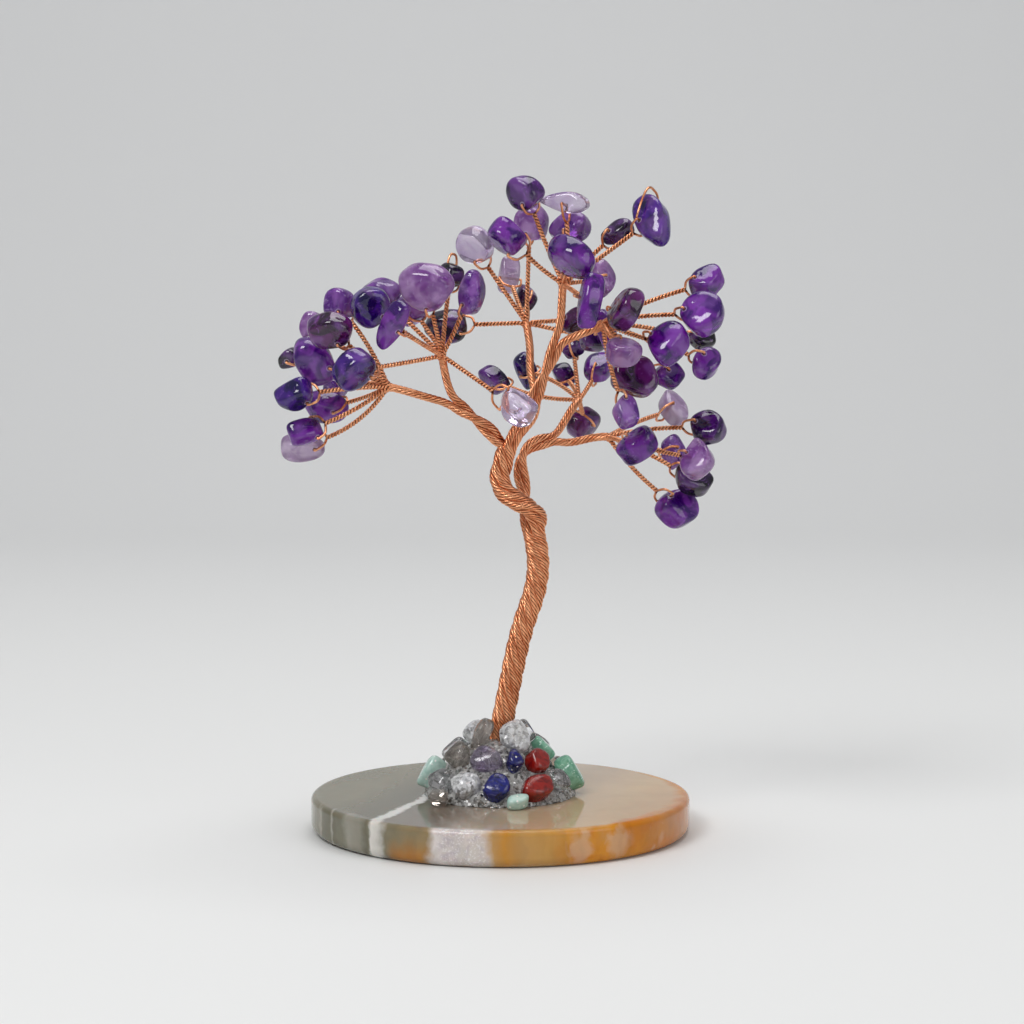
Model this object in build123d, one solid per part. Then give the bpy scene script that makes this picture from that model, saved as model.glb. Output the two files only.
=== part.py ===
"""Wire tree with drilled stone chips, standing in a glued mound of chips on a polished stone slice."""

import os
from collections import namedtuple
from itertools import combinations
from math import asin, atan2, cos, degrees, pi, radians, sin, tan

from build123d import *

# The polished slice, lying on its underside with its middle over the origin.
BASE_WIDTH = 65.0
BASE_DEPTH = 64.0
BASE_THICKNESS = 6.2
BASE_TOP_ROUND = 0.9
BASE_UNDER_ROUND = 1.7
RIM_SHARES = (1.0, 0.992, 0.985, 0.99, 1.0, 1.004, 0.996, 0.985, 0.98, 0.988, 1.0, 1.006)

# The wire tree. Its places are shares of the rise, counted from the middle of the slice's top.
TREE_RISE = 100.0
WIRE_DIAMETER = 0.36
STRAND_DIAMETER = 1.0
LAY_SPREAD_SHARE = 1.3
TWIG_DIAMETER = 0.7
TWIST_OVERLAP = 0.35
LEG_SHARE = 0.8
KNOT_DIAMETER = 2.6
BEND_RADIUS = 6.0
STRAIGHT = 1e-4
FANNING_PASSES = 200
SETTLING_PASSES = 60
SEAT_GAP = 0.03
TWIG_GAP = 0.08

# The drilled chips, sized as shares of one common length.
CHIP_LENGTH = 6.4
CORNER_ROUND_SHARE = 0.65
RIM_ROUND_SHARE = 0.7
DRILL_EDGE = 1.5
SWIVEL_CLEARANCE = 0.1
SNUG_CLEARANCE = 0.02
LOOP_CLEARANCE = 0.22
LOOP_ROUND = 0.42

# The glued mound, its chips sized as shares of their own common length.
MOUND_CHIP_LENGTH = 6.0
MOUND_RADIUS = 13.0
MOUND_TOP_RADIUS = 3.3
MOUND_HEIGHT = 9.6
WELL_CLEARANCE = 0.12

ACROSS = Vector(1, 0, 0)
BACK = Vector(0, 1, 0)
UP = Vector(0, 0, 1)

# Outlines of a chip seen along its drilled hole, as shares of its length and width.
OUTLINE_SHARES = {
    "oval": ((-0.5, -0.1), (-0.26, -0.5), (0.24, -0.5), (0.5, -0.08), (0.3, 0.46), (-0.22, 0.5)),
    "pear": ((-0.5, -0.24), (-0.08, -0.5), (0.46, -0.22), (0.5, 0.14), (0.04, 0.5), (-0.44, 0.34)),
    "wedge": ((-0.5, -0.12), (-0.1, -0.5), (0.44, -0.36), (0.5, 0.26), (-0.06, 0.5)),
    "slab": ((-0.5, -0.28), (0.1, -0.5), (0.5, -0.1), (0.32, 0.44), (-0.38, 0.5)),
    "drop": ((-0.5, -0.06), (-0.1, -0.46), (0.3, -0.5), (0.5, -0.1), (0.4, 0.36), (0.02, 0.5)),
}

# Middle line of the twisted trunk from its foot to the crotch.
TRUNK_SHARES = (
    (-0.008, 0.0, 0.012),
    (0.0, 0.0, 0.096),
    (0.015, 0.0, 0.178),
    (0.027, 0.0, 0.238),
    (0.043, 0.0, 0.3),
    (0.058, 0.0, 0.345),
    (0.065, 0.0, 0.4),
    (0.058, 0.0, 0.45),
)
TRUNK_TURN = -975.0
TRUNK_TIGHTEN_SHARE = 0.12
TRUNK_STATIONS = 32

# Twisted lengths above the trunk: the strands in each, its middle line, and how far it turns.
Rope = namedtuple("Rope", "strands route_shares turn stations")
ROPES = (
    Rope(
        ("left_low", "left_high", "back_centre", "top", "right_mid"),
        (
            (0.061, -0.006, 0.474),
            (0.049, -0.022, 0.495),
            (0.024, -0.03, 0.509),
            (0.006, -0.025, 0.525),
            (0.0, -0.02, 0.545),
            (0.006, -0.02, 0.572),
            (0.012, -0.02, 0.598),
        ),
        -435.0,
        15,
    ),
    Rope(
        ("right_back", "right_low"),
        (
            (0.046, 0.014, 0.478),
            (0.042, 0.022, 0.516),
            (0.036, 0.03, 0.547),
            (0.037, 0.032, 0.572),
            (0.048, 0.032, 0.591),
            (0.066, 0.034, 0.6),
            (0.087, 0.04, 0.605),
        ),
        -450.0,
        15,
    ),
    Rope(
        ("left_low", "left_high"),
        ((-0.013, -0.024, 0.62), (-0.05, -0.03, 0.652), (-0.076, -0.03, 0.671)),
        -270.0,
        9,
    ),
    Rope(
        ("back_centre", "top", "right_mid"),
        ((0.031, -0.02, 0.621), (0.046, -0.02, 0.642), (0.057, -0.018, 0.676)),
        -140.0,
        6,
    ),
    Rope(
        ("top", "right_mid"),
        ((0.074, -0.03, 0.716), (0.089, -0.03, 0.753), (0.096, -0.03, 0.77)),
        -190.0,
        7,
    ),
)

# Each strand's own run from its last twisted length to its knot.
BOUGH_SHARES = {
    "left_low": ((-0.125, -0.04, 0.683), (-0.159, -0.04, 0.693), (-0.187, -0.04, 0.7)),
    "left_high": ((-0.09, -0.024, 0.712), (-0.097, -0.02, 0.751)),
    "back_centre": ((0.053, 0.01, 0.715), (0.051, 0.045, 0.76), (0.045, 0.07, 0.803)),
    "top": ((0.1, -0.03, 0.8), (0.104, -0.03, 0.84), (0.106, -0.03, 0.872)),
    "right_mid": ((0.126, -0.03, 0.784), (0.152, -0.03, 0.794), (0.173, -0.03, 0.807)),
    "right_back": ((0.107, 0.07, 0.628), (0.126, 0.1, 0.656), (0.137, 0.12, 0.668)),
    "right_low": ((0.113, 0.04, 0.6), (0.16, 0.03, 0.609), (0.184, 0.03, 0.611)),
}

# Chips by knot: middle, roll of the hole about the twig, lean of the long side, three sizes as
# shares of the chip length, outline, and how far the chip swings on its wire either way.
Chip = namedtuple("Chip", "across back up roll lean long wide thick outline swing")
CHIP_SHARES = {
    "left_low": (
        Chip(-0.272, -0.01, 0.837, 20, 20, 0.96, 0.85, 0.55, "oval", 0),
        Chip(-0.279, -0.1, 0.798, 30, 15, 1.24, 0.9, 0.6, "slab", 0),
        Chip(-0.321, 0.02, 0.8, 0, 80, 0.75, 0.62, 0.5, "wedge", 0),
        Chip(-0.311, -0.045, 0.742, 10, -50, 1.55, 0.95, 0.6, "oval", 0),
        Chip(-0.356, 0.015, 0.744, 20, 60, 0.65, 0.55, 0.5, "wedge", 0),
        Chip(-0.342, -0.088, 0.688, 50, 10, 1.1, 0.87, 0.6, "drop", 20),
        Chip(-0.296, 0.03, 0.659, 30, -5, 1.25, 0.85, 0.55, "oval", 0),
        Chip(-0.325, -0.068, 0.626, 60, -20, 0.95, 0.72, 0.55, "slab", 0),
        Chip(-0.332, -0.005, 0.594, 30, -10, 1.2, 0.78, 0.55, "pear", 20),
        Chip(-0.281, 0.06, 0.691, 0, 30, 0.7, 0.6, 0.5, "wedge", 0),
    ),
    "left_high": (
        Chip(-0.212, -0.076, 0.834, 0, 100, 1.2, 1.0, 0.6, "oval", 0),
        Chip(-0.2, -0.01, 0.853, 30, 10, 1.15, 0.95, 0.55, "pear", 0),
        Chip(-0.175, -0.145, 0.806, 10, 80, 1.55, 0.55, 0.5, "drop", 15),
        Chip(-0.121, -0.07, 0.865, 20, -5, 1.6, 1.2, 0.7, "oval", 0),
        Chip(-0.151, 0.03, 0.832, 40, 30, 0.9, 0.85, 0.5, "slab", 0),
        Chip(-0.083, 0.01, 0.885, 60, 45, 0.8, 0.72, 0.5, "wedge", 12),
        Chip(-0.047, -0.035, 0.859, 20, 80, 1.2, 0.68, 0.55, "pear", 15),
        Chip(-0.24, -0.125, 0.731, 40, 75, 1.33, 1.0, 0.6, "oval", 15),
        Chip(0.026, -0.08, 0.669, 60, -80, 1.25, 0.88, 0.6, "drop", 25),
    ),
    "back_centre": (
        Chip(-0.044, 0.05, 0.933, 40, 60, 1.08, 1.0, 0.6, "oval", 20),
        Chip(0.051, 0.06, 0.974, 20, 70, 1.08, 0.95, 0.55, "slab", 0),
        Chip(0.015, 0.18, 0.882, 60, 80, 1.0, 0.6, 0.5, "pear", 20),
        Chip(0.045, 0.2, 0.841, 60, 70, 0.8, 0.6, 0.5, "wedge", 0),
        Chip(-0.091, 0.088, 0.798, 40, 15, 1.25, 0.9, 0.6, "oval", 20),
        Chip(0.163, 0.095, 0.776, 30, 0, 0.9, 0.65, 0.5, "slab", 0),
        Chip(0.133, 0.008, 0.811, 20, 30, 0.95, 0.7, 0.5, "slab", 0),
    ),
    "top": (
        Chip(0.044, -0.04, 1.025, 40, 110, 1.0, 0.9, 0.6, "oval", 25),
        Chip(0.11, -0.01, 1.007, 20, -3, 1.5, 0.58, 0.5, "drop", 15),
        Chip(0.119, 0.04, 0.967, 30, 20, 1.18, 0.95, 0.6, "oval", 0),
        Chip(0.014, -0.06, 0.951, 70, 60, 1.1, 1.0, 0.65, "oval", 20),
        Chip(0.118, -0.11, 0.917, 20, 25, 1.55, 1.05, 0.65, "oval", 0),
        Chip(0.252, -0.06, 0.979, 40, -60, 1.6, 0.95, 0.65, "pear", 12),
        Chip(0.198, 0.005, 0.958, 50, 20, 0.95, 0.6, 0.5, "drop", 0),
        Chip(0.175, 0.03, 0.879, 20, 100, 1.05, 0.72, 0.5, "wedge", 0),
        Chip(0.147, -0.163, 0.845, 20, -65, 1.5, 0.75, 0.55, "pear", 0),
    ),
    "right_mid": (
        Chip(0.209, -0.125, 0.833, 20, -15, 1.35, 1.1, 0.6, "oval", 0),
        Chip(0.348, -0.028, 0.873, 50, 40, 0.98, 0.88, 0.6, "wedge", 20),
        Chip(0.335, -0.098, 0.824, 30, 20, 1.3, 1.1, 0.65, "oval", 0),
        Chip(0.339, 0.018, 0.778, 30, 0, 0.78, 0.7, 0.5, "wedge", 0),
        Chip(0.347, -0.04, 0.743, 40, 60, 1.0, 0.75, 0.5, "pear", 15),
        Chip(0.278, -0.12, 0.774, 30, 100, 1.35, 1.08, 0.65, "drop", 0),
        Chip(0.203, -0.147, 0.762, 40, 0, 1.05, 0.88, 0.55, "oval", 0),
        Chip(0.228, -0.055, 0.719, 20, -20, 1.35, 1.1, 0.6, "slab", 0),
        Chip(0.284, 0.005, 0.714, 40, 30, 0.85, 0.75, 0.5, "wedge", 20),
        Chip(0.181, 0.05, 0.789, 20, 10, 1.2, 0.75, 0.5, "pear", 0),
        Chip(0.207, -0.12, 0.665, 30, 90, 0.95, 0.62, 0.5, "slab", 25),
    ),
    "right_back": (
        Chip(0.128, 0.188, 0.758, 20, 80, 0.75, 0.6, 0.5, "wedge", 0),
        Chip(0.113, 0.247, 0.705, 20, 60, 0.75, 0.6, 0.5, "slab", 0),
        Chip(0.175, 0.205, 0.722, 30, 75, 1.2, 0.75, 0.55, "oval", 20),
        Chip(0.149, 0.2, 0.623, 40, 0, 1.05, 0.8, 0.6, "pear", 20),
        Chip(-0.011, 0.24, 0.695, 40, -15, 1.0, 0.6, 0.5, "oval", 20),
        Chip(0.047, 0.24, 0.712, 40, 85, 1.1, 0.62, 0.5, "drop", 20),
    ),
    "right_low": (
        Chip(0.231, -0.07, 0.603, 40, 80, 1.15, 0.95, 0.6, "oval", 20),
        Chip(0.302, 0.175, 0.647, 40, 80, 1.18, 0.75, 0.55, "pear", 20),
        Chip(0.348, -0.015, 0.63, 40, -35, 1.1, 0.98, 0.6, "wedge", 15),
        Chip(0.327, -0.08, 0.583, 30, -70, 1.25, 0.95, 0.55, "drop", 0),
        Chip(0.33, 0.03, 0.539, 40, -10, 1.1, 0.88, 0.55, "slab", 0),
        Chip(0.303, 0.045, 0.487, 40, 25, 1.3, 1.0, 0.6, "oval", 20),
        Chip(0.301, 0.13, 0.576, 40, 80, 1.0, 0.65, 0.5, "wedge", 0),
    ),
}

# Chips glued in the mound: stone, angle round the trunk from the front towards the right, distance
# out and height as shares of the mound's radius, tip of the flat side from level, spin on that
# side, three sizes as shares of the chip length, and outline.
Stone = namedtuple("Stone", "stone around out up tip spin long wide thick outline")
MOUND_SHARES = (
    Stone("lapis", -3, 0.87, 0.22, 50, 0, 0.78, 0.74, 0.6, "oval"),
    Stone("jasper", 29, 0.9, 0.21, 46, 8, 1.05, 0.72, 0.56, "wedge"),
    Stone("quartz", 58, 0.86, 0.22, 46, 0, 0.74, 0.74, 0.56, "slab"),
    Stone("aventurine", 87, 0.91, 0.27, 62, 84, 1.1, 0.8, 0.5, "oval"),
    Stone("quartz", 116, 0.87, 0.22, 46, 10, 0.94, 0.76, 0.58, "pear"),
    Stone("smoky", 144, 0.87, 0.22, 46, 0, 0.92, 0.76, 0.56, "oval"),
    Stone("quartz", 172, 0.87, 0.22, 46, 0, 0.92, 0.76, 0.58, "slab"),
    Stone("jasper", 199, 0.87, 0.22, 46, 0, 0.86, 0.76, 0.56, "wedge"),
    Stone("quartz", 226, 0.87, 0.22, 46, 10, 0.92, 0.76, 0.58, "oval"),
    Stone("aventurine", 252, 0.87, 0.22, 46, 0, 0.76, 0.74, 0.56, "pear"),
    Stone("amazonite", 275, 0.88, 0.28, 60, 82, 0.98, 0.56, 0.54, "slab"),
    Stone("quartz", 301, 0.87, 0.22, 46, 0, 0.96, 0.76, 0.6, "wedge"),
    Stone("quartz", 330, 0.87, 0.22, 46, 0, 0.88, 0.76, 0.6, "oval"),
    Stone("amazonite", 12, 1.1, 0.105, 14, 20, 0.66, 0.42, 0.34, "oval"),
    Stone("smoky", 316, 1.15, 0.1, 10, 0, 0.64, 0.42, 0.34, "slab"),
    Stone("quartz", -18, 0.58, 0.54, 46, 0, 0.84, 0.78, 0.58, "pear"),
    Stone("lapis", 19, 0.6, 0.52, 46, 0, 0.5, 0.58, 0.52, "oval"),
    Stone("jasper", 52, 0.63, 0.49, 46, 84, 0.72, 0.62, 0.52, "slab"),
    Stone("aventurine", 91, 0.57, 0.57, 46, 60, 0.78, 0.66, 0.52, "wedge"),
    Stone("quartz", 131, 0.59, 0.53, 46, 0, 0.98, 0.78, 0.58, "oval"),
    Stone("lapis", 171, 0.59, 0.53, 46, 0, 0.74, 0.72, 0.56, "wedge"),
    Stone("quartz", 213, 0.59, 0.53, 46, 0, 0.98, 0.78, 0.58, "slab"),
    Stone("quartz", 254, 0.59, 0.52, 46, 10, 0.82, 0.76, 0.58, "oval"),
    Stone("smoky", 297, 0.59, 0.53, 46, 0, 0.76, 0.76, 0.58, "pear"),
    Stone("quartz", 33, 0.36, 0.82, 66, 90, 0.98, 0.74, 0.44, "oval"),
    Stone("quartz", 105, 0.35, 0.8, 62, 0, 0.78, 0.68, 0.44, "slab"),
    Stone("quartz", 180, 0.35, 0.78, 60, 0, 0.8, 0.68, 0.46, "wedge"),
    Stone("quartz", 246, 0.36, 0.79, 60, 0, 0.72, 0.66, 0.46, "oval"),
    Stone("smoky", 312, 0.33, 0.8, 70, 76, 1.04, 0.52, 0.4, "drop"),
)


def rise(shares):
    """A place in the tree, from its shares of the rise."""
    return Vector(*shares) * TREE_RISE + UP * BASE_THICKNESS


def crosswise(along):
    """The rightward and rearward directions square to a direction."""
    right = BACK.cross(along).normalized()
    return right, along.cross(right)


def even_ring(offsets):
    """The same strands drawn into an even ring, each staying on its own side."""
    ordered = sorted(offsets, key=lambda name: atan2(offsets[name][1], offsets[name][0]))
    step = 2 * pi / len(ordered)
    radius = STRAND_DIAMETER * LAY_SPREAD_SHARE / 2 / sin(step / 2)
    phase = sum(atan2(offsets[n][1], offsets[n][0]) - i * step for i, n in enumerate(ordered))
    phase /= len(ordered)
    return {
        name: (radius * cos(phase + i * step), radius * sin(phase + i * step))
        for i, name in enumerate(ordered)
    }


def twist(paths, names, axis, turn, stations, tighten=0.0, gather=True):
    """Adds one twisted length to the paths of its strands."""
    right, back = crosswise(axis % 0)
    start = {n: (paths[n][-1] - axis @ 0) for n in names}
    start = {n: (offset.dot(right), offset.dot(back)) for n, offset in start.items()}
    goal = even_ring(start) if gather else start
    for step in range(1, stations + 1):
        share = step / stations
        drawn = min(1.0, 2 * share)
        right, back = crosswise(axis % share)
        angle = radians(turn * ((1 - tighten) * share + tighten * share**3))
        for n in names:
            x = start[n][0] + drawn * (goal[n][0] - start[n][0])
            y = start[n][1] + drawn * (goal[n][1] - start[n][1])
            outward = right * (x * cos(angle) - y * sin(angle))
            outward += back * (x * sin(angle) + y * cos(angle))
            paths[n].append((axis @ share) + outward)


def strand_paths():
    """The corner points of every strand, from the slice up the trunk to its own knot."""
    spacing = STRAND_DIAMETER * LAY_SPREAD_SHARE
    axis = Spline([rise(shares) for shares in TRUNK_SHARES])
    right, back = crosswise(axis % 0)
    ring = ("right_low", "right_back", "left_low", "left_high", "back_centre", "right_mid")
    places = {"top": axis @ 0}
    for i, name in enumerate(ring):
        angle = i * 2 * pi / len(ring)
        places[name] = (axis @ 0) + (right * cos(angle) + back * sin(angle)) * spacing
    floor = BASE_THICKNESS + SEAT_GAP
    paths = {n: [Vector(p.X, p.Y, floor), Vector(p.X, p.Y, p.Z)] for n, p in places.items()}
    twist(paths, list(paths), axis, TRUNK_TURN, TRUNK_STATIONS, TRUNK_TIGHTEN_SHARE, gather=False)
    for rope in ROPES:
        ends = [paths[n][-1] for n in rope.strands]
        middle = sum(ends, Vector(0, 0, 0)) * (1 / len(ends))
        axis = Spline([middle] + [rise(shares) for shares in rope.route_shares])
        twist(paths, rope.strands, axis, rope.turn, rope.stations)
    for name, route in BOUGH_SHARES.items():
        paths[name] += [rise(shares) for shares in route]
    return paths


def fan_out(directions, stem, least, stem_least):
    """Twig directions pushed apart until each leaves the knot clear of the rest and of the stem."""
    fan = [d.normalized() for d in directions]
    for _ in range(FANNING_PASSES):
        for i, j in combinations(range(len(fan)), 2):
            if fan[i].get_angle(fan[j]) < least:
                push = (fan[i] - fan[j]).normalized() * 0.02
                fan[i] = (fan[i] + push).normalized()
                fan[j] = (fan[j] - push).normalized()
        for i, d in enumerate(fan):
            if d.get_angle(stem) < stem_least:
                fan[i] = (d - stem * 0.04).normalized()
    return fan


Hung = namedtuple("Hung", "chip start leave crotch outward hole drilled long_side wide_side middle half_loop")


def hang(chip, knot, leave):
    """Where one chip, its hole, its wire loop and its twig lie."""
    middle = rise(chip[:3])
    start = knot + leave * (KNOT_DIAMETER / 2 + SEAT_GAP)
    arrival = (middle - start).normalized()
    swings = (0.0,) if not chip.swing else (-chip.swing, 0.0, chip.swing)
    for _ in range(SETTLING_PASSES):
        outward = arrival
        right, back = crosswise(outward)
        if abs(outward.dot(BACK)) > 0.9:
            right, back = ACROSS.cross(outward).normalized(), ACROSS
        roll = radians(chip.roll)
        drilled = (back * cos(roll) + right * sin(roll)).normalized()
        drilled = (drilled - outward * drilled.dot(outward)).normalized()
        lean = radians(chip.lean)
        long_side = ACROSS * cos(lean) + UP * sin(lean)
        long_side = (long_side - drilled * drilled.dot(long_side)).normalized()
        wide_side = drilled.cross(long_side)
        corners = [
            long_side * (x * chip.long * CHIP_LENGTH) + wide_side * (y * chip.wide * CHIP_LENGTH)
            for x, y in OUTLINE_SHARES[chip.outline]
        ]
        inner = max(-c.dot(outward) for c in corners)
        hole = middle - outward * (inner - DRILL_EDGE)
        turned = [
            (c + middle - hole).rotate(Axis((0, 0, 0), tuple(drilled)), angle)
            for c in corners
            for angle in swings
        ]
        reach = max(-c.dot(outward) for c in turned)
        half_loop = chip.thick * CHIP_LENGTH / 2 + LOOP_CLEARANCE + WIRE_DIAMETER / 2
        bend = reach + LOOP_CLEARANCE + WIRE_DIAMETER / 2
        crotch = hole - outward * (bend + half_loop * 0.7)
        chord = (crotch - start).normalized()
        arc_end = (chord * (2 * chord.dot(leave)) - leave).normalized()
        arrival = (outward * 2 + arc_end).normalized()
    return Hung(chip, start, leave, crotch, outward, hole, drilled, long_side, wide_side, middle, (half_loop, bend))


def hung_chips(paths):
    """Every chip of every knot, in its place."""
    tree = {}
    for name, chips in CHIP_SHARES.items():
        knot = paths[name][-1]
        stem = (paths[name][-2] - knot).normalized()
        least = degrees(2 * asin((TWIG_DIAMETER + TWIG_GAP) / (KNOT_DIAMETER + 2 * SEAT_GAP)))
        stem_least = least / 2 + degrees(asin((STRAND_DIAMETER + TWIG_GAP) / KNOT_DIAMETER))
        fan = fan_out([rise(c[:3]) - knot for c in chips], stem, least, stem_least)
        tree[name] = [hang(chip, knot, leave) for chip, leave in zip(chips, fan)]
    return tree


def rounded_path(points, radius):
    """Straight runs joined by tangent arcs, each as wide as its neighbours leave room for."""
    edges = []
    begin = points[0]
    for before, corner, after in zip(points, points[1:], points[2:]):
        come = (corner - before).normalized()
        go = (after - corner).normalized()
        half_turn = radians(come.get_angle(go)) / 2
        if half_turn < STRAIGHT:
            continue
        room = min((corner - before).length, (after - corner).length) * 0.48
        set_back = min(radius * tan(half_turn), room)
        bend = set_back / tan(half_turn)
        enter = corner - come * set_back
        leave = corner + go * set_back
        inward = (go - come).normalized()
        crown = corner + inward * (bend / cos(half_turn) - bend)
        edges.append(Line(begin, enter))
        edges.append(ThreePointArc(enter, crown, leave))
        begin = leave
    edges.append(Line(begin, points[-1]))
    return Wire([e.edge() for e in edges])


def tube(path, diameter):
    """A round wire along a path."""
    section = Plane(origin=path @ 0, z_dir=path % 0) * Circle(diameter / 2)
    return sweep(section, path=path)


def ball(place, diameter):
    return Pos(*place) * Sphere(diameter / 2)


def stone_prism(middle, long_side, normal, sizes, outline):
    """A chip before tumbling: a sharp prism on its outline."""
    length, width, thickness = sizes
    corners = [(x * length, y * width) for x, y in OUTLINE_SHARES[outline]]
    plane = Plane(origin=middle - normal * (thickness / 2), x_dir=long_side, z_dir=normal)
    return extrude(plane * Polygon(*corners, align=None), amount=thickness)


def tumbled(prism, normal, sizes):
    """The prism with its corners rounded as far as their sides leave room for, then its two rims."""
    upright = prism.edges().filter_by(lambda edge: abs((edge % 0).dot(normal)) > 0.9)
    rim = prism.faces().sort_by(lambda face: face.normal_at().dot(normal))[-1].outer_wire()
    sides = [edge for edge in rim.order_edges()]
    turns = [radians((a % 1).get_angle(b % 0)) for a, b in zip(sides, sides[1:] + sides[:1])]
    room = min(
        side.length / (tan(before / 2) + tan(after / 2))
        for side, before, after in zip(sides, turns[-1:] + turns[:-1], turns)
    )
    corner_round = room * CORNER_ROUND_SHARE
    stone = fillet(upright, corner_round)
    faces = stone.faces().sort_by(lambda face: face.center().dot(normal))
    rims = faces[0].edges() + faces[-1].edges()
    return fillet(rims, min(corner_round, sizes[2] / 2) * RIM_ROUND_SHARE)


def hung_stone(hung):
    """A tumbled chip with its drilled hole."""
    chip = hung.chip
    sizes = tuple(share * CHIP_LENGTH for share in (chip.long, chip.wide, chip.thick))
    prism = stone_prism(hung.middle, hung.long_side, hung.drilled, sizes, chip.outline)
    stone = tumbled(prism, hung.drilled, sizes)
    clearance = SWIVEL_CLEARANCE if chip.swing else SNUG_CLEARANCE
    drill = Cylinder(WIRE_DIAMETER / 2 + clearance, 2 * sizes[2])
    return stone - Plane(origin=hung.hole, z_dir=hung.drilled) * drill


def twig(hung):
    """A twisted pair of wires from the knot, opening into the loop that carries the chip."""
    chord = hung.crotch - hung.start
    if chord.get_angle(hung.leave) < 1:
        stem = Line(hung.start, hung.crotch)
    else:
        stem = TangentArc(hung.start, hung.crotch, tangent=hung.leave)
    half_loop, bend = hung.half_loop
    side = hung.drilled * (WIRE_DIAMETER / 2 * LEG_SHARE)
    root = hung.crotch - hung.outward * TWIST_OVERLAP
    corner = hung.hole - hung.outward * bend
    aside = hung.drilled * half_loop
    loop = (
        root + side,
        corner + aside,
        hung.hole + aside,
        hung.hole - aside,
        corner - aside,
        root - side,
    )
    wire = tube(rounded_path(loop, LOOP_ROUND), WIRE_DIAMETER)
    return tube(stem, TWIG_DIAMETER) + wire


def agate_base():
    """The polished slice."""
    turn = 2 * pi / len(RIM_SHARES)
    rim = [
        (share * cos(i * turn) * BASE_WIDTH / 2, share * sin(i * turn) * BASE_DEPTH / 2)
        for i, share in enumerate(RIM_SHARES)
    ]
    slab = extrude(make_face(Spline(*rim, periodic=True)), amount=BASE_THICKNESS)
    slab = fillet(slab.edges().group_by(Axis.Z)[-1], BASE_TOP_ROUND)
    return fillet(slab.edges().group_by(Axis.Z)[0], BASE_UNDER_ROUND)


def mound_prisms():
    """The mound's chips before tumbling, each with its stone, its upper side's direction and its sizes."""
    prisms = []
    for row in MOUND_SHARES:
        around = radians(row.around)
        tip = radians(row.tip)
        outward = Vector(sin(around), -cos(around), 0)
        beside = Vector(cos(around), sin(around), 0)
        normal = outward * sin(tip) + UP * cos(tip)
        long_side = beside.rotate(Axis((0, 0, 0), tuple(normal)), row.spin)
        middle = (outward * row.out + UP * row.up) * MOUND_RADIUS + UP * BASE_THICKNESS
        sizes = tuple(share * MOUND_CHIP_LENGTH for share in (row.long, row.wide, row.thick))
        prism = stone_prism(middle, long_side, normal, sizes, row.outline)
        prisms.append((row.stone, prism, normal, sizes))
    return prisms


def glue_bed(prisms):
    """The hardened glue under and between the mound's chips, round the foot of the trunk."""
    heap = Cone(MOUND_RADIUS, MOUND_TOP_RADIUS, MOUND_HEIGHT, align=(Align.CENTER, Align.CENTER, Align.MIN))
    glue = Pos(0, 0, BASE_THICKNESS) * heap
    trunk_radius = STRAND_DIAMETER * (LAY_SPREAD_SHARE + 1 / 2) + WELL_CLEARANCE
    well = Cylinder(trunk_radius, 3 * MOUND_HEIGHT)
    foot = rise(TRUNK_SHARES[0])
    glue -= Plane(origin=foot, z_dir=rise(TRUNK_SHARES[1]) - foot) * well
    for prism in prisms:
        glue -= prism[1]
    return max(glue.solids(), key=lambda solid: solid.volume)


def save(name, solids):
    """One node, as one file of separate solids."""
    solids = [solid for piece in solids for solid in piece.solids()]
    shape = solids[0] if len(solids) == 1 else Compound(children=solids)
    export_step(shape, os.path.join("parts", name + ".step"))


def main():
    os.makedirs("parts", exist_ok=True)
    save("agate_base", [agate_base()])
    prisms = mound_prisms()
    save("glue_bed", [glue_bed(prisms)])
    for stone in sorted({prism[0] for prism in prisms}):
        save("mound_" + stone, [tumbled(*prism[1:]) for prism in prisms if prism[0] == stone])
    paths = strand_paths()
    for name, points in paths.items():
        bough = tube(rounded_path(points, BEND_RADIUS), STRAND_DIAMETER) + ball(points[-1], KNOT_DIAMETER)
        save("bough_" + name, [bough])
    for name, row in hung_chips(paths).items():
        save("twigs_" + name, [twig(hung) for hung in row])
        save("chips_" + name, [hung_stone(hung) for hung in row if not hung.chip.swing])
        swinging = [hung for hung in row if hung.chip.swing]
        for number, hung in enumerate(swinging, 1):
            save(f"swivel_{name}_{number}", [hung_stone(hung)])


if __name__ == "__main__":
    main()
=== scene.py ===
"""Dresses the wire tree: tumbled stone chips on twisted copper wire, a glued mound and a polished slice."""

from collections import namedtuple
from itertools import combinations

import bpy
import numpy as np
from bpy.props import FloatProperty, FloatVectorProperty, IntProperty, PointerProperty
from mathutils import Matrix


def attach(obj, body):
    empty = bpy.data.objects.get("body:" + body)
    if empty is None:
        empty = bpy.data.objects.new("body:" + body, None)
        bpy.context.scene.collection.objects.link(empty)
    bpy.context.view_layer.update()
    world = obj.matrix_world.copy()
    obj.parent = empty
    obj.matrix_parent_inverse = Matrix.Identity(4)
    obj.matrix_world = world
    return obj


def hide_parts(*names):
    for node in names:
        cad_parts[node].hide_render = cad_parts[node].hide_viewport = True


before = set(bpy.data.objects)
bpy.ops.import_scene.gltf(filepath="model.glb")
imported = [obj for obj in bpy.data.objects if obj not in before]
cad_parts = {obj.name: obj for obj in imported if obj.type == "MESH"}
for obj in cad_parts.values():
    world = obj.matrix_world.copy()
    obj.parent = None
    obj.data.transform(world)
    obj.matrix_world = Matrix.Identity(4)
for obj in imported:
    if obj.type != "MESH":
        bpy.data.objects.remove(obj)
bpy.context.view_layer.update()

bl_info = {
    "name": "Wire Tree",
    "version": (1, 0, 0),
    "blender": (4, 5, 0),
    "location": "View3D > Sidebar > Wire Tree",
    "description": "Stone chips on a twisted wire tree over a polished slice",
    "category": "Object",
}

# The tree is laid out in millimetres and handed to Blender in metres.
MILLIMETRE = 0.001
TREE_BODY = "tree"
ACROSS, BACK, UP = np.eye(3)

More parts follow.
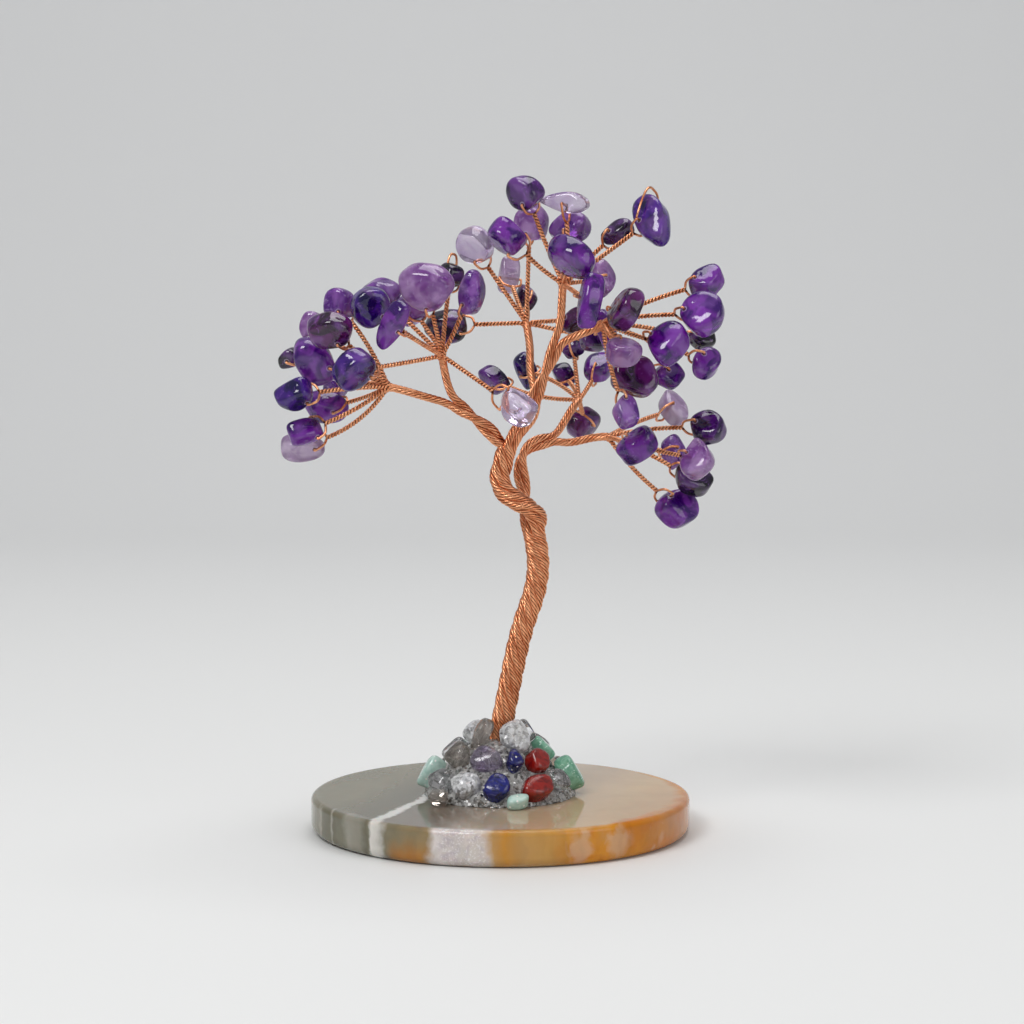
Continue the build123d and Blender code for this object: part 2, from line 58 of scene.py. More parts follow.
# Sizes shared with the solids.
BASE_WIDTH = 65.0
BASE_DEPTH = 64.0
BASE_THICKNESS = 6.2
TREE_RISE = 100.0
WIRE_DIAMETER = 0.36
STRAND_DIAMETER = 1.0
LAY_SPREAD_SHARE = 1.3
TWIG_DIAMETER = 0.7
KNOT_DIAMETER = 2.6
SEAT_GAP = 0.03
TWIG_GAP = 0.08
CHIP_LENGTH = 6.4
DRILL_EDGE = 1.5
LOOP_CLEARANCE = 0.22
FANNING_PASSES = 200
FANNING_PUSH = 0.02
STEM_PUSH = 0.04
SETTLING_PASSES = 60
END_ON = 0.9
CROTCH_SHARE = 0.7
MOUND_CHIP_LENGTH = 6.0
MOUND_RADIUS = 13.0
MOUND_TOP_RADIUS = 3.3
MOUND_HEIGHT = 9.6

# How squarely tumbled stones keep their flats, and how far they fill their sharp outline.
TUMBLE_POWER = 5.5
TUMBLE_FILL = 1.08
# Flats struck off a tumbled stone: how many, how level they lie, and where they cut, as shares of the
# stone's reach. The glued stones are struck deeper than the hung ones.
STRUCK_FLATS = 6
STRUCK_LEVEL = 0.7
STRUCK_SHARES = (0.76, 0.96)
MOUND_STRUCK_SHARES = (0.68, 0.92)
# Slow waves on a tumbled stone: radians to the millimetre along its three sides, and depth as a share.
WAVE_RATES = (0.9, 1.2, 1.5)
WAVE_DEPTH = 0.06

# Seeds of the glue's crumbs, of the first glued stone, and the step from one knot's chips to the next.
GLUE_SEED = 7
MOUND_SEED = 500
KNOT_SEEDS = 20
# How far on from the last stone's veils the next stone's are read, in millimetres.
GRAIN_STEP = 11.0
# A glued stone shows no hole: its surface counts as this far from one, in millimetres.
NO_BORE = np.full(3, 9.0)

# Crumbs of stone in the glue: how strongly they gather low down, widths, height as a share of the width,
# how much of it also lifts them, and how steeply they fade in from the heap's foot and top.
CRUMB_LOWNESS = 1.3
CRUMB_WIDTHS = (0.9, 1.9)
CRUMB_HEIGHT_SHARE = 0.5
CRUMB_LIFT_SHARE = 0.6
CRUMB_FADE = 8

# Distance between the stations of a strand's wires, and a direction that no strand runs along.
STATION_STEP = 0.3
OFF_STRAND = BACK + 0.2 * ACROSS
# Twigs: how far down the strand they start and how far they spread there.
TWIG_ROOT = 2.4
TWIG_ROOT_SPREAD = 0.25
# How far the twist runs on into the loop, as a share of the loop's half width, and where the loop's
# legs bend, as shares of its depth and of its half width.
TWIST_SHARE = 0.6
LEG_DEPTH_SHARE = 0.88
LEG_WIDTH_SHARE = 0.8
# The loop's turn into the hole: how far it begins before the hole and ends inside it.
TURN_BEFORE = 0.4
TURN_INSIDE = 0.35
# Slack loops: power of the full ellipse, below one for fuller corners, and stations.
SLACK_POWER = 0.6
SLACK_STATIONS = 48

# How strongly stone bends light.
STONE_IOR = 1.54
# Painted glints in crushed crystal: the scale of their cells against the facets', and the share of them
# painted white as highlights.
GLINT_CELL_SCALE = 2.3
GLINT_SHARE = 0.2
# Random colours lie evenly about this one.
MIDDLE_GREY = (0.5, 0.5, 0.5)

# Lamps, in metres and watts: place, side and power.
LAMPS = {
    "key": ((-0.34, -0.42, 0.62), 0.3, 2.7),
    "fill": ((0.5, -0.4, 0.3), 0.4, 0.8),
    "above": ((0.05, 0.12, 0.66), 0.4, 1.7),
}
LAMP_TARGET = (0.0, 0.0, 0.06)
SKY_STRENGTH = 0.42
# Camera: place in millimetres, degrees that it looks down, focal length and frame in pixels.
CAMERA_PLACE = (2.06, -490.3, 104.2)
CAMERA_DIP = 5.77
FOCAL_PIXELS = 2900
FRAME_PIXELS = 1024
SENSOR_WIDTH = 36.0

# Outlines of a chip seen along its drilled hole, as shares of its length and width.
OUTLINE_SHARES = {
    "oval": ((-0.5, -0.1), (-0.26, -0.5), (0.24, -0.5), (0.5, -0.08), (0.3, 0.46), (-0.22, 0.5)),
    "pear": ((-0.5, -0.24), (-0.08, -0.5), (0.46, -0.22), (0.5, 0.14), (0.04, 0.5), (-0.44, 0.34)),
    "wedge": ((-0.5, -0.12), (-0.1, -0.5), (0.44, -0.36), (0.5, 0.26), (-0.06, 0.5)),
    "slab": ((-0.5, -0.28), (0.1, -0.5), (0.5, -0.1), (0.32, 0.44), (-0.38, 0.5)),
    "drop": ((-0.5, -0.06), (-0.1, -0.46), (0.3, -0.5), (0.5, -0.1), (0.4, 0.36), (0.02, 0.5)),
}

# Middle line of the trunk, then of each twisted length above it, as shares of the rise.
TRUNK_SHARES = (
    (-0.008, 0.0, 0.012),
    (0.0, 0.0, 0.096),
    (0.015, 0.0, 0.178),
    (0.027, 0.0, 0.238),
    (0.043, 0.0, 0.3),
    (0.058, 0.0, 0.345),
    (0.065, 0.0, 0.4),
    (0.058, 0.0, 0.45),
)
TRUNK_RING = ("right_low", "right_back", "left_low", "left_high", "back_centre", "right_mid")
TRUNK_CORE = "top"
TRUNK_TURN = -975.0
TRUNK_TIGHTEN_SHARE = 0.12
TRUNK_STATIONS = 32
Rope = namedtuple("Rope", "strands route_shares turn stations")
ROPES = (
    Rope(
        ("left_low", "left_high", "back_centre", "top", "right_mid"),
        (
            (0.061, -0.006, 0.474),
            (0.049, -0.022, 0.495),
            (0.024, -0.03, 0.509),
            (0.006, -0.025, 0.525),
            (0.0, -0.02, 0.545),
            (0.006, -0.02, 0.572),
            (0.012, -0.02, 0.598),
        ),
        -435.0,
        15,
    ),
    Rope(
        ("right_back", "right_low"),
        (
            (0.046, 0.014, 0.478),
            (0.042, 0.022, 0.516),
            (0.036, 0.03, 0.547),
            (0.037, 0.032, 0.572),
            (0.048, 0.032, 0.591),
            (0.066, 0.034, 0.6),
            (0.087, 0.04, 0.605),
        ),
        -450.0,
        15,
    ),
    Rope(
        ("left_low", "left_high"),
        ((-0.013, -0.024, 0.62), (-0.05, -0.03, 0.652), (-0.076, -0.03, 0.671)),
        -270.0,
        9,
    ),
    Rope(
        ("back_centre", "top", "right_mid"),
        ((0.031, -0.02, 0.621), (0.046, -0.02, 0.642), (0.057, -0.018, 0.676)),
        -140.0,
        6,
    ),
    Rope(
        ("top", "right_mid"),
        ((0.074, -0.03, 0.716), (0.089, -0.03, 0.753), (0.096, -0.03, 0.77)),
        -190.0,
        7,
    ),
)

# Each strand's own run from its last twisted length to its knot.
BOUGH_SHARES = {
    "left_low": ((-0.125, -0.04, 0.683), (-0.159, -0.04, 0.693), (-0.187, -0.04, 0.7)),
    "left_high": ((-0.09, -0.024, 0.712), (-0.097, -0.02, 0.751)),
    "back_centre": ((0.053, 0.01, 0.715), (0.051, 0.045, 0.76), (0.045, 0.07, 0.803)),
    "top": ((0.1, -0.03, 0.8), (0.104, -0.03, 0.84), (0.106, -0.03, 0.872)),
    "right_mid": ((0.126, -0.03, 0.784), (0.152, -0.03, 0.794), (0.173, -0.03, 0.807)),
    "right_back": ((0.107, 0.07, 0.628), (0.126, 0.1, 0.656), (0.137, 0.12, 0.668)),
    "right_low": ((0.113, 0.04, 0.6), (0.16, 0.03, 0.609), (0.184, 0.03, 0.611)),
}

# Chips by knot: middle, roll of the hole about the twig, lean of the long side, three sizes as
# shares of the chip length, outline, swing on the wire either way, and tone of the stone.
Chip = namedtuple("Chip", "across back up roll lean long wide thick outline swing tone")
CHIP_SHARES = {
    "left_low": (
        Chip(-0.272, -0.01, 0.837, 20, 20, 0.96, 0.85, 0.55, "oval", 0, "lilac"),
        Chip(-0.279, -0.1, 0.798, 30, 15, 1.24, 0.9, 0.6, "slab", 0, "plum"),
        Chip(-0.321, 0.02, 0.8, 0, 80, 0.75, 0.62, 0.5, "wedge", 0, "mauve"),
        Chip(-0.311, -0.045, 0.742, 10, -50, 1.55, 0.95, 0.6, "oval", 0, "violet"),
        Chip(-0.356, 0.015, 0.744, 20, 60, 0.65, 0.55, 0.5, "wedge", 0, "night"),
        Chip(-0.342, -0.088, 0.688, 50, 10, 1.1, 0.87, 0.6, "drop", 20, "indigo"),
        Chip(-0.296, 0.03, 0.659, 30, -5, 1.25, 0.85, 0.55, "oval", 0, "violet"),
        Chip(-0.325, -0.068, 0.626, 60, -20, 0.95, 0.72, 0.55, "slab", 0, "vivid"),
        Chip(-0.332, -0.005, 0.594, 30, -10, 1.2, 0.78, 0.55, "pear", 20, "milky"),
        Chip(-0.281, 0.06, 0.691, 0, 30, 0.7, 0.6, 0.5, "wedge", 0, "lilac"),
    ),
    "left_high": (
        Chip(-0.212, -0.076, 0.834, 0, 100, 1.2, 1.0, 0.6, "oval", 0, "indigo"),
        Chip(-0.2, -0.01, 0.853, 30, 10, 1.15, 0.95, 0.55, "pear", 0, "lilac"),
        Chip(-0.175, -0.145, 0.806, 10, 80, 1.55, 0.55, 0.5, "drop", 15, "violet"),
        Chip(-0.121, -0.07, 0.865, 20, -5, 1.6, 1.2, 0.7, "oval", 0, "mauve"),
        Chip(-0.151, 0.03, 0.832, 40, 30, 0.9, 0.85, 0.5, "slab", 0, "lilac"),
        Chip(-0.083, 0.01, 0.885, 60, 45, 0.8, 0.72, 0.5, "wedge", 12, "night"),
        Chip(-0.047, -0.035, 0.859, 20, 80, 1.2, 0.68, 0.55, "pear", 15, "lilac"),
        Chip(-0.24, -0.125, 0.731, 40, 75, 1.33, 1.0, 0.6, "oval", 15, "indigo"),
        Chip(0.026, -0.08, 0.669, 60, -80, 1.25, 0.88, 0.6, "drop", 25, "clear"),
    ),
    "back_centre": (
        Chip(-0.044, 0.05, 0.933, 40, 60, 1.08, 1.0, 0.6, "oval", 20, "clear"),
        Chip(0.051, 0.06, 0.974, 20, 70, 1.08, 0.95, 0.55, "slab", 0, "mauve"),
        Chip(0.015, 0.18, 0.882, 60, 80, 1.0, 0.6, 0.5, "pear", 20, "milky"),
        Chip(0.045, 0.2, 0.841, 60, 70, 0.8, 0.6, 0.5, "wedge", 0, "plum"),
        Chip(-0.091, 0.088, 0.798, 40, 15, 1.25, 0.9, 0.6, "oval", 20, "night"),
        Chip(0.163, 0.095, 0.776, 30, 0, 0.9, 0.65, 0.5, "slab", 0, "deep"),
        Chip(0.133, 0.008, 0.811, 20, 30, 0.95, 0.7, 0.5, "slab", 0, "plum"),
    ),
    "top": (
        Chip(0.044, -0.04, 1.025, 40, 110, 1.0, 0.9, 0.6, "oval", 25, "deep"),
        Chip(0.11, -0.01, 1.007, 20, -3, 1.5, 0.58, 0.5, "drop", 15, "clear"),
        Chip(0.119, 0.04, 0.967, 30, 20, 1.18, 0.95, 0.6, "oval", 0, "lilac"),
        Chip(0.014, -0.06, 0.951, 70, 60, 1.1, 1.0, 0.65, "oval", 20, "violet"),
        Chip(0.118, -0.11, 0.917, 20, 25, 1.55, 1.05, 0.65, "oval", 0, "vivid"),
        Chip(0.252, -0.06, 0.979, 40, -60, 1.6, 0.95, 0.65, "pear", 12, "indigo"),
        Chip(0.198, 0.005, 0.958, 50, 20, 0.95, 0.6, 0.5, "drop", 0, "night"),
        Chip(0.175, 0.03, 0.879, 20, 100, 1.05, 0.72, 0.5, "wedge", 0, "mauve"),
        Chip(0.147, -0.163, 0.845, 20, -65, 1.5, 0.75, 0.55, "pear", 0, "vivid"),
    ),
    "right_mid": (
        Chip(0.209, -0.125, 0.833, 20, -15, 1.35, 1.1, 0.6, "oval", 0, "plum"),
        Chip(0.348, -0.028, 0.873, 50, 40, 0.98, 0.88, 0.6, "wedge", 20, "violet"),
        Chip(0.335, -0.098, 0.824, 30, 20, 1.3, 1.1, 0.65, "oval", 0, "violet"),
        Chip(0.339, 0.018, 0.778, 30, 0, 0.78, 0.7, 0.5, "wedge", 0, "night"),
        Chip(0.347, -0.04, 0.743, 40, 60, 1.0, 0.75, 0.5, "pear", 15, "violet"),
        Chip(0.278, -0.12, 0.774, 30, 100, 1.35, 1.08, 0.65, "drop", 0, "vivid"),
        Chip(0.203, -0.147, 0.762, 40, 0, 1.05, 0.88, 0.55, "oval", 0, "mauve"),
        Chip(0.228, -0.055, 0.719, 20, -20, 1.35, 1.1, 0.6, "slab", 0, "plum"),
        Chip(0.284, 0.005, 0.714, 40, 30, 0.85, 0.75, 0.5, "wedge", 20, "vivid"),
        Chip(0.181, 0.05, 0.789, 20, 10, 1.2, 0.75, 0.5, "pear", 0, "violet"),
        Chip(0.207, -0.12, 0.665, 30, 90, 0.95, 0.62, 0.5, "slab", 25, "lilac"),
    ),
    "right_back": (
        Chip(0.128, 0.188, 0.758, 20, 80, 0.75, 0.6, 0.5, "wedge", 0, "deep"),
        Chip(0.113, 0.247, 0.705, 20, 60, 0.75, 0.6, 0.5, "slab", 0, "deep"),
        Chip(0.175, 0.205, 0.722, 30, 75, 1.2, 0.75, 0.55, "oval", 20, "vivid"),
        Chip(0.149, 0.2, 0.623, 40, 0, 1.05, 0.8, 0.6, "pear", 20, "plum"),
        Chip(-0.011, 0.24, 0.695, 40, -15, 1.0, 0.6, 0.5, "oval", 20, "deep"),
        Chip(0.047, 0.24, 0.712, 40, 85, 1.1, 0.62, 0.5, "drop", 20, "indigo"),
    ),
    "right_low": (
        Chip(0.231, -0.07, 0.603, 40, 80, 1.15, 0.95, 0.6, "oval", 20, "vivid"),
        Chip(0.302, 0.175, 0.647, 40, 80, 1.18, 0.75, 0.55, "pear", 20, "milky"),
        Chip(0.348, -0.015, 0.63, 40, -35, 1.1, 0.98, 0.6, "wedge", 15, "deep"),
        Chip(0.327, -0.08, 0.583, 30, -70, 1.25, 0.95, 0.55, "drop", 0, "mauve"),
        Chip(0.33, 0.03, 0.539, 40, -10, 1.1, 0.88, 0.55, "slab", 0, "night"),
        Chip(0.303, 0.045, 0.487, 40, 25, 1.3, 1.0, 0.6, "oval", 20, "violet"),
        Chip(0.301, 0.13, 0.576, 40, 80, 1.0, 0.65, 0.5, "wedge", 0, "lilac"),
    ),
}

# Chips that the wire stands over in a slack loop: knot, chip, clearance past the chip, width as a
# share of the wire loop's, and turn about the hole from the outer end.
Slack = namedtuple("Slack", "knot chip proud width turn")
SLACK_LOOPS = (
    Slack("left_high", 5, 0.9, 0.45, 0.0),
    Slack("top", 5, 0.4, 1.15, -45.0),
)

# Chips glued in the mound: stone, angle round the trunk from the front towards the right, distance
# out and height as shares of the mound's radius, tip of the flat side from level, spin on that
# side, three sizes as shares of the chip length, outline, and which of the stone's finishes it has.
Stone = namedtuple("Stone", "stone around out up tip spin long wide thick outline look", defaults=(0,))
MOUND_SHARES = (
    Stone("lapis", -3, 0.87, 0.22, 50, 0, 0.78, 0.74, 0.6, "oval"),
    Stone("jasper", 29, 0.9, 0.21, 46, 8, 1.05, 0.72, 0.56, "wedge"),
    Stone("quartz", 58, 0.86, 0.22, 46, 0, 0.74, 0.74, 0.56, "slab"),
    Stone("aventurine", 87, 0.91, 0.27, 62, 84, 1.1, 0.8, 0.5, "oval"),
    Stone("quartz", 116, 0.87, 0.22, 46, 10, 0.94, 0.76, 0.58, "pear"),
    Stone("smoky", 144, 0.87, 0.22, 46, 0, 0.92, 0.76, 0.56, "oval"),
    Stone("quartz", 172, 0.87, 0.22, 46, 0, 0.92, 0.76, 0.58, "slab", 1),
    Stone("jasper", 199, 0.87, 0.22, 46, 0, 0.86, 0.76, 0.56, "wedge"),
    Stone("quartz", 226, 0.87, 0.22, 46, 10, 0.92, 0.76, 0.58, "oval"),
    Stone("aventurine", 252, 0.87, 0.22, 46, 0, 0.76, 0.74, 0.56, "pear"),
    Stone("amazonite", 275, 0.88, 0.28, 60, 82, 0.98, 0.56, 0.54, "slab"),
    Stone("quartz", 301, 0.87, 0.22, 46, 0, 0.96, 0.76, 0.6, "wedge"),
    Stone("quartz", 330, 0.87, 0.22, 46, 0, 0.88, 0.76, 0.6, "oval", 1),
    Stone("amazonite", 12, 1.1, 0.105, 14, 20, 0.66, 0.42, 0.34, "oval"),
    Stone("smoky", 316, 1.15, 0.1, 10, 0, 0.64, 0.42, 0.34, "slab"),
    Stone("quartz", -18, 0.58, 0.54, 46, 0, 0.84, 0.78, 0.58, "pear", 2),
    Stone("lapis", 19, 0.6, 0.52, 46, 0, 0.5, 0.58, 0.52, "oval"),
    Stone("jasper", 52, 0.63, 0.49, 46, 84, 0.72, 0.62, 0.52, "slab"),
    Stone("aventurine", 91, 0.57, 0.57, 46, 60, 0.78, 0.66, 0.52, "wedge"),
    Stone("quartz", 131, 0.59, 0.53, 46, 0, 0.98, 0.78, 0.58, "oval"),
    Stone("lapis", 171, 0.59, 0.53, 46, 0, 0.74, 0.72, 0.56, "wedge"),
    Stone("quartz", 213, 0.59, 0.53, 46, 0, 0.98, 0.78, 0.58, "slab", 1),
    Stone("quartz", 254, 0.59, 0.52, 46, 10, 0.82, 0.76, 0.58, "oval"),
    Stone("smoky", 297, 0.59, 0.53, 46, 0, 0.76, 0.76, 0.58, "pear"),
    Stone("quartz", 33, 0.36, 0.82, 66, 90, 0.98, 0.74, 0.44, "oval", 1),
    Stone("quartz", 105, 0.35, 0.8, 62, 0, 0.78, 0.68, 0.44, "slab"),
    Stone("quartz", 180, 0.35, 0.78, 60, 0, 0.8, 0.68, 0.46, "wedge"),
    Stone("quartz", 246, 0.36, 0.79, 60, 0, 0.72, 0.66, 0.46, "oval", 1),
    Stone("smoky", 312, 0.33, 0.8, 70, 76, 1.04, 0.52, 0.4, "drop"),
)


def paint(red, green, blue):
    """A colour as it looks on a screen, out of 255, turned into linear light."""
    seen = np.array([red, green, blue]) / 255
    linear = np.where(seen <= 0.04045, seen / 12.92, ((seen + 0.055) / 1.055) ** 2.4)
    return tuple(float(value) for value in linear)


# Tones of the hung chips: colour, and which of the amethyst finishes it has.
TONES = {
    "clear": (paint(232, 220, 240), "amethyst_clear"),
    "milky": (paint(210, 192, 216), "amethyst_pale"),
    "mauve": (paint(184, 140, 200), "amethyst_pale"),
    "lilac": (paint(154, 94, 188), "amethyst_pale"),
    "violet": (paint(124, 46, 166), "amethyst_deep"),
    "vivid": (paint(114, 22, 158), "amethyst_deep"),
    "indigo": (paint(70, 22, 138), "amethyst_deep"),
    "plum": (paint(102, 26, 106), "amethyst_deep"),
    "deep": (paint(82, 18, 118), "amethyst_deep"),
    "night": (paint(46, 18, 66), "amethyst_deep"),
}


# Bands of the slice, from left to right: the direction across them and the span that they cover, then
# the bands of its top and of its rim, by distance across in millimetres and colour out of 255.
AGATE_SLANT = (1.0, -0.343, 0.0)
AGATE_SPAN = 76.0
AGATE_TOP = (
    (-36, (106, 101, 78)),
    (-24, (115, 109, 84)),
    (-16, (94, 88, 68)),
    (-13.2, (98, 92, 72)),
    (-12.7, (218, 216, 210)),
    (-11.4, (218, 216, 210)),
    # These two bands are partly their own colour and partly painted shade: darkened for the mound's shadow
    # and reflection in front of it.
    (-10.7, (112, 103, 90)),
    (-3, (118, 106, 94)),
    (1.5, (164, 149, 134)),
    (7, (178, 161, 138)),
    (14, (186, 161, 131)),
    (24, (194, 163, 122)),
    (36, (190, 148, 106)),
)
AGATE_SIDE = (
    (-36, (132, 128, 108)),
    (-26.8, (116, 112, 92)),
    (-26.2, (164, 160, 146)),
    (-25.5, (112, 108, 88)),
    (-22.7, (108, 104, 84)),
    (-22.3, (168, 164, 152)),
    (-21.7, (108, 104, 84)),
    (-19.6, (120, 116, 98)),
    (-18.6, (150, 147, 134)),
    (-15.4, (144, 140, 126)),
    (-14, (112, 108, 90)),
    (-13.4, (122, 117, 98)),
    (-12.8, (224, 221, 214)),
    (-10.6, (200, 196, 188)),
    (-9.6, (130, 122, 98)),
    (-2.6, (142, 122, 84)),
    (-1.2, (210, 202, 198)),
    (8.2, (208, 198, 190)),
    (9.8, (184, 142, 84)),
    (12, (188, 130, 44)),
    (15, (182, 140, 80)),
    (19.5, (186, 138, 66)),
    (23, (200, 132, 20)),
    (31, (198, 128, 20)),
    (36, (178, 122, 80)),
)
# Paler islands in the rim: place across, back and up, and radius, in millimetres.
AGATE_ISLANDS = ((13.2, -29.2, 3.2, 2.4), (19.9, -25.3, 3.4, 2.9), (26.5, -18.5, 2.6, 2.0))


def millimetres(name, description, size):
    """A length that a user may change, given in millimetres."""
    return FloatProperty(name=name, description=description, default=size * MILLIMETRE, unit="LENGTH")


def swatch(name, description, *seen):
    """A colour that a user may change, from how it looks on a screen."""
    return FloatVectorProperty(name=name, description=description, default=paint(*seen), subtype="COLOR")


class WireTreeSizes(bpy.types.PropertyGroup):
    """Sizes of the dressed pieces."""

    wire_diameter: millimetres("Wire diameter", "Thickness of one fine wire", 0.43)
    strand_wires: IntProperty(
        name="Wires in a strand",
        description="Wires on the outside of a strand",
        default=7,
    )
    strand_wire_diameter: millimetres("Strand wire diameter", "Thickness of a wire laid in a strand", 0.42)
    twig_pitch: millimetres("Twig pitch", "Length of one turn of a twig's two wires", 1.2)
    bough_pitch: millimetres("Bough pitch", "Length of one turn of a strand's wires", 6.0)
    mound_fill: FloatProperty(
        name="Mound fill",
        description="Size of the glued chips against their solids",
        default=1.08,
        subtype="FACTOR",
    )


class WireTreeColours(bpy.types.PropertyGroup):
    """Colours of the metal, the glued stones and the floor."""

    copper: swatch("Copper", "Bare wire", 246, 176, 132)
    patina: swatch("Patina", "Darkened wire", 206, 124, 82)
    quartz: swatch("Quartz", "Clear chips", 248, 248, 250)
    smoky: swatch("Smoky quartz", "Grey brown chips", 206, 198, 190)
    lapis: swatch("Lapis", "Blue chips", 18, 26, 116)
    jasper: swatch("Jasper", "Red chips", 146, 22, 8)
    aventurine: swatch("Aventurine", "Green chips", 126, 178, 152)
    amazonite: swatch("Amazonite", "Pale aqua chips", 190, 216, 206)
    floor: swatch("Floor", "Table top", 228, 228, 227)
    wall: swatch("Wall", "Backdrop", 236, 236, 236)


def unit(vectors):
    """Vectors divided by their lengths."""
    return vectors / np.linalg.norm(vectors, axis=-1, keepdims=True)


def along_of(vectors, directions):
    """Dot products, kept as a last axis of one."""
    return np.sum(vectors * directions, axis=-1, keepdims=True)


def rise(shares):
    """Places in the tree, from their shares of its rise above the slice."""
    return np.asarray(shares, float) * TREE_RISE + UP * BASE_THICKNESS


def crosswise(along):
    """The rightward and rearward directions square to a direction."""
    right = unit(np.cross(BACK, along))
    return right, np.cross(along, right)


def smooth_line(points, shares):
    """Places and directions on a cubic through the points.

    Each stretch is a cubic in the chord length, and the slopes at the points are solved together, so
    that the curvature also runs on unbroken from one stretch into the next.
    """
    points = np.asarray(points, float)
    steps = np.linalg.norm(np.diff(points, axis=0), axis=1)
    chord = np.concatenate([[0.0], np.cumsum(steps)])
    grade = np.diff(points, axis=0) / steps[:, None]
    count = len(points)
    inner = np.arange(1, count - 1)
    system = np.zeros((count, count))
    system[0, :2] = 2, 1
    system[-1, -2:] = 1, 2
    system[inner, inner - 1] = steps[1:]
    system[inner, inner] = 2 * (steps[1:] + steps[:-1])
    system[inner, inner + 1] = steps[:-1]
    wanted = np.empty_like(points)
    wanted[0] = 3 * grade[0]
    wanted[-1] = 3 * grade[-1]
    wanted[1:-1] = 3 * (steps[1:, None] * grade[:-1] + steps[:-1, None] * grade[1:])
    slopes = np.linalg.solve(system, wanted)
    places = np.asarray(shares, float) * chord[-1]
    stretch = np.clip(np.searchsorted(chord, places, side="right") - 1, 0, count - 2)
    length = steps[stretch][:, None]
    t = (places - chord[stretch])[:, None] / length
    a, b = points[stretch], points[stretch + 1]
    da, db = slopes[stretch] * length, slopes[stretch + 1] * length
    line = a * (2 * t**3 - 3 * t**2 + 1) + da * (t**3 - 2 * t**2 + t)
    line += b * (3 * t**2 - 2 * t**3) + db * (t**3 - t**2)
    slope = (a - b) * (6 * t**2 - 6 * t) + da * (3 * t**2 - 4 * t + 1) + db * (3 * t**2 - 2 * t)
    return line, unit(slope)


def even_ring(places):
    """The same strands drawn into an even ring, each staying on its own side."""
    angles = np.arctan2(places[:, 1], places[:, 0])
    order = np.argsort(angles)
    step = 2 * np.pi / len(places)
    radius = STRAND_DIAMETER * LAY_SPREAD_SHARE / 2 / np.sin(step / 2)
    seats = np.empty(len(places))
    seats[order] = np.arange(len(places)) * step
    seats += np.mean(angles - seats)
    return radius * np.stack([np.cos(seats), np.sin(seats)], axis=-1)


def twisted(starts, middle_line, turn, stations, tighten=0.0, gather=True):
    """Strands twisted round a middle line: each keeps its place across it while that turns."""
    share = np.arange(stations + 1) / stations
    middle, along = smooth_line(middle_line, share)
    right, back = crosswise(along)
    offset = starts - middle[0]
    begin = np.stack([offset @ right[0], offset @ back[0]], axis=-1)
    goal = even_ring(begin) if gather else begin
    drawn = np.minimum(1.0, 2 * share)[:, None]
    place = begin[:, None] + drawn * (goal - begin)[:, None]
    angle = np.radians(turn * ((1 - tighten) * share + tighten * share**3))
    x = place[..., 0] * np.cos(angle) - place[..., 1] * np.sin(angle)
    y = place[..., 0] * np.sin(angle) + place[..., 1] * np.cos(angle)
    return (middle + right * x[..., None] + back * y[..., None])[:, 1:]


def strand_paths():
    """The points of every strand, from the slice up the trunk to its own knot."""
    trunk = rise(TRUNK_SHARES)
    foot, along = smooth_line(trunk, np.zeros(1))
    right, back = crosswise(along[0])
    angles = np.arange(len(TRUNK_RING)) * 2 * np.pi / len(TRUNK_RING)
    ring = np.outer(np.cos(angles), right) + np.outer(np.sin(angles), back)
    starts = np.vstack([foot, foot + ring * STRAND_DIAMETER * LAY_SPREAD_SHARE])
    names = (TRUNK_CORE, *TRUNK_RING)
    floor = BASE_THICKNESS + SEAT_GAP
    paths = {name: [[*start[:2], floor], start] for name, start in zip(names, starts)}
    runs = twisted(starts, trunk, TRUNK_TURN, TRUNK_STATIONS, TRUNK_TIGHTEN_SHARE, gather=False)
    for name, run in zip(names, runs):
        paths[name].extend(run)
    for rope in ROPES:
        ends = np.array([paths[name][-1] for name in rope.strands])
        line = np.vstack([ends.mean(axis=0), rise(rope.route_shares)])
        for name, run in zip(rope.strands, twisted(ends, line, rope.turn, rope.stations)):
            paths[name].extend(run)
    for name, route in BOUGH_SHARES.items():
        paths[name].extend(rise(route))
    return {name: np.array(path) for name, path in paths.items()}


def fan_out(directions, stem, least, stem_least):
    """Twig directions pushed apart until each leaves the knot clear of the rest and of the stem."""
    fan = unit(directions)
    for _ in range(FANNING_PASSES):
        for i, j in combinations(range(len(fan)), 2):
            if fan[i] @ fan[j] > np.cos(least):
                push = unit(fan[i] - fan[j]) * FANNING_PUSH
                fan[i] = unit(fan[i] + push)
                fan[j] = unit(fan[j] - push)
        for i in range(len(fan)):
            if fan[i] @ stem > np.cos(stem_least):
                fan[i] = unit(fan[i] - stem * STEM_PUSH)
    return fan


Hung = namedtuple(
    "Hung", "start leave crotch outward hole drilled long_side wide_side middle half_loop bend arms"
)


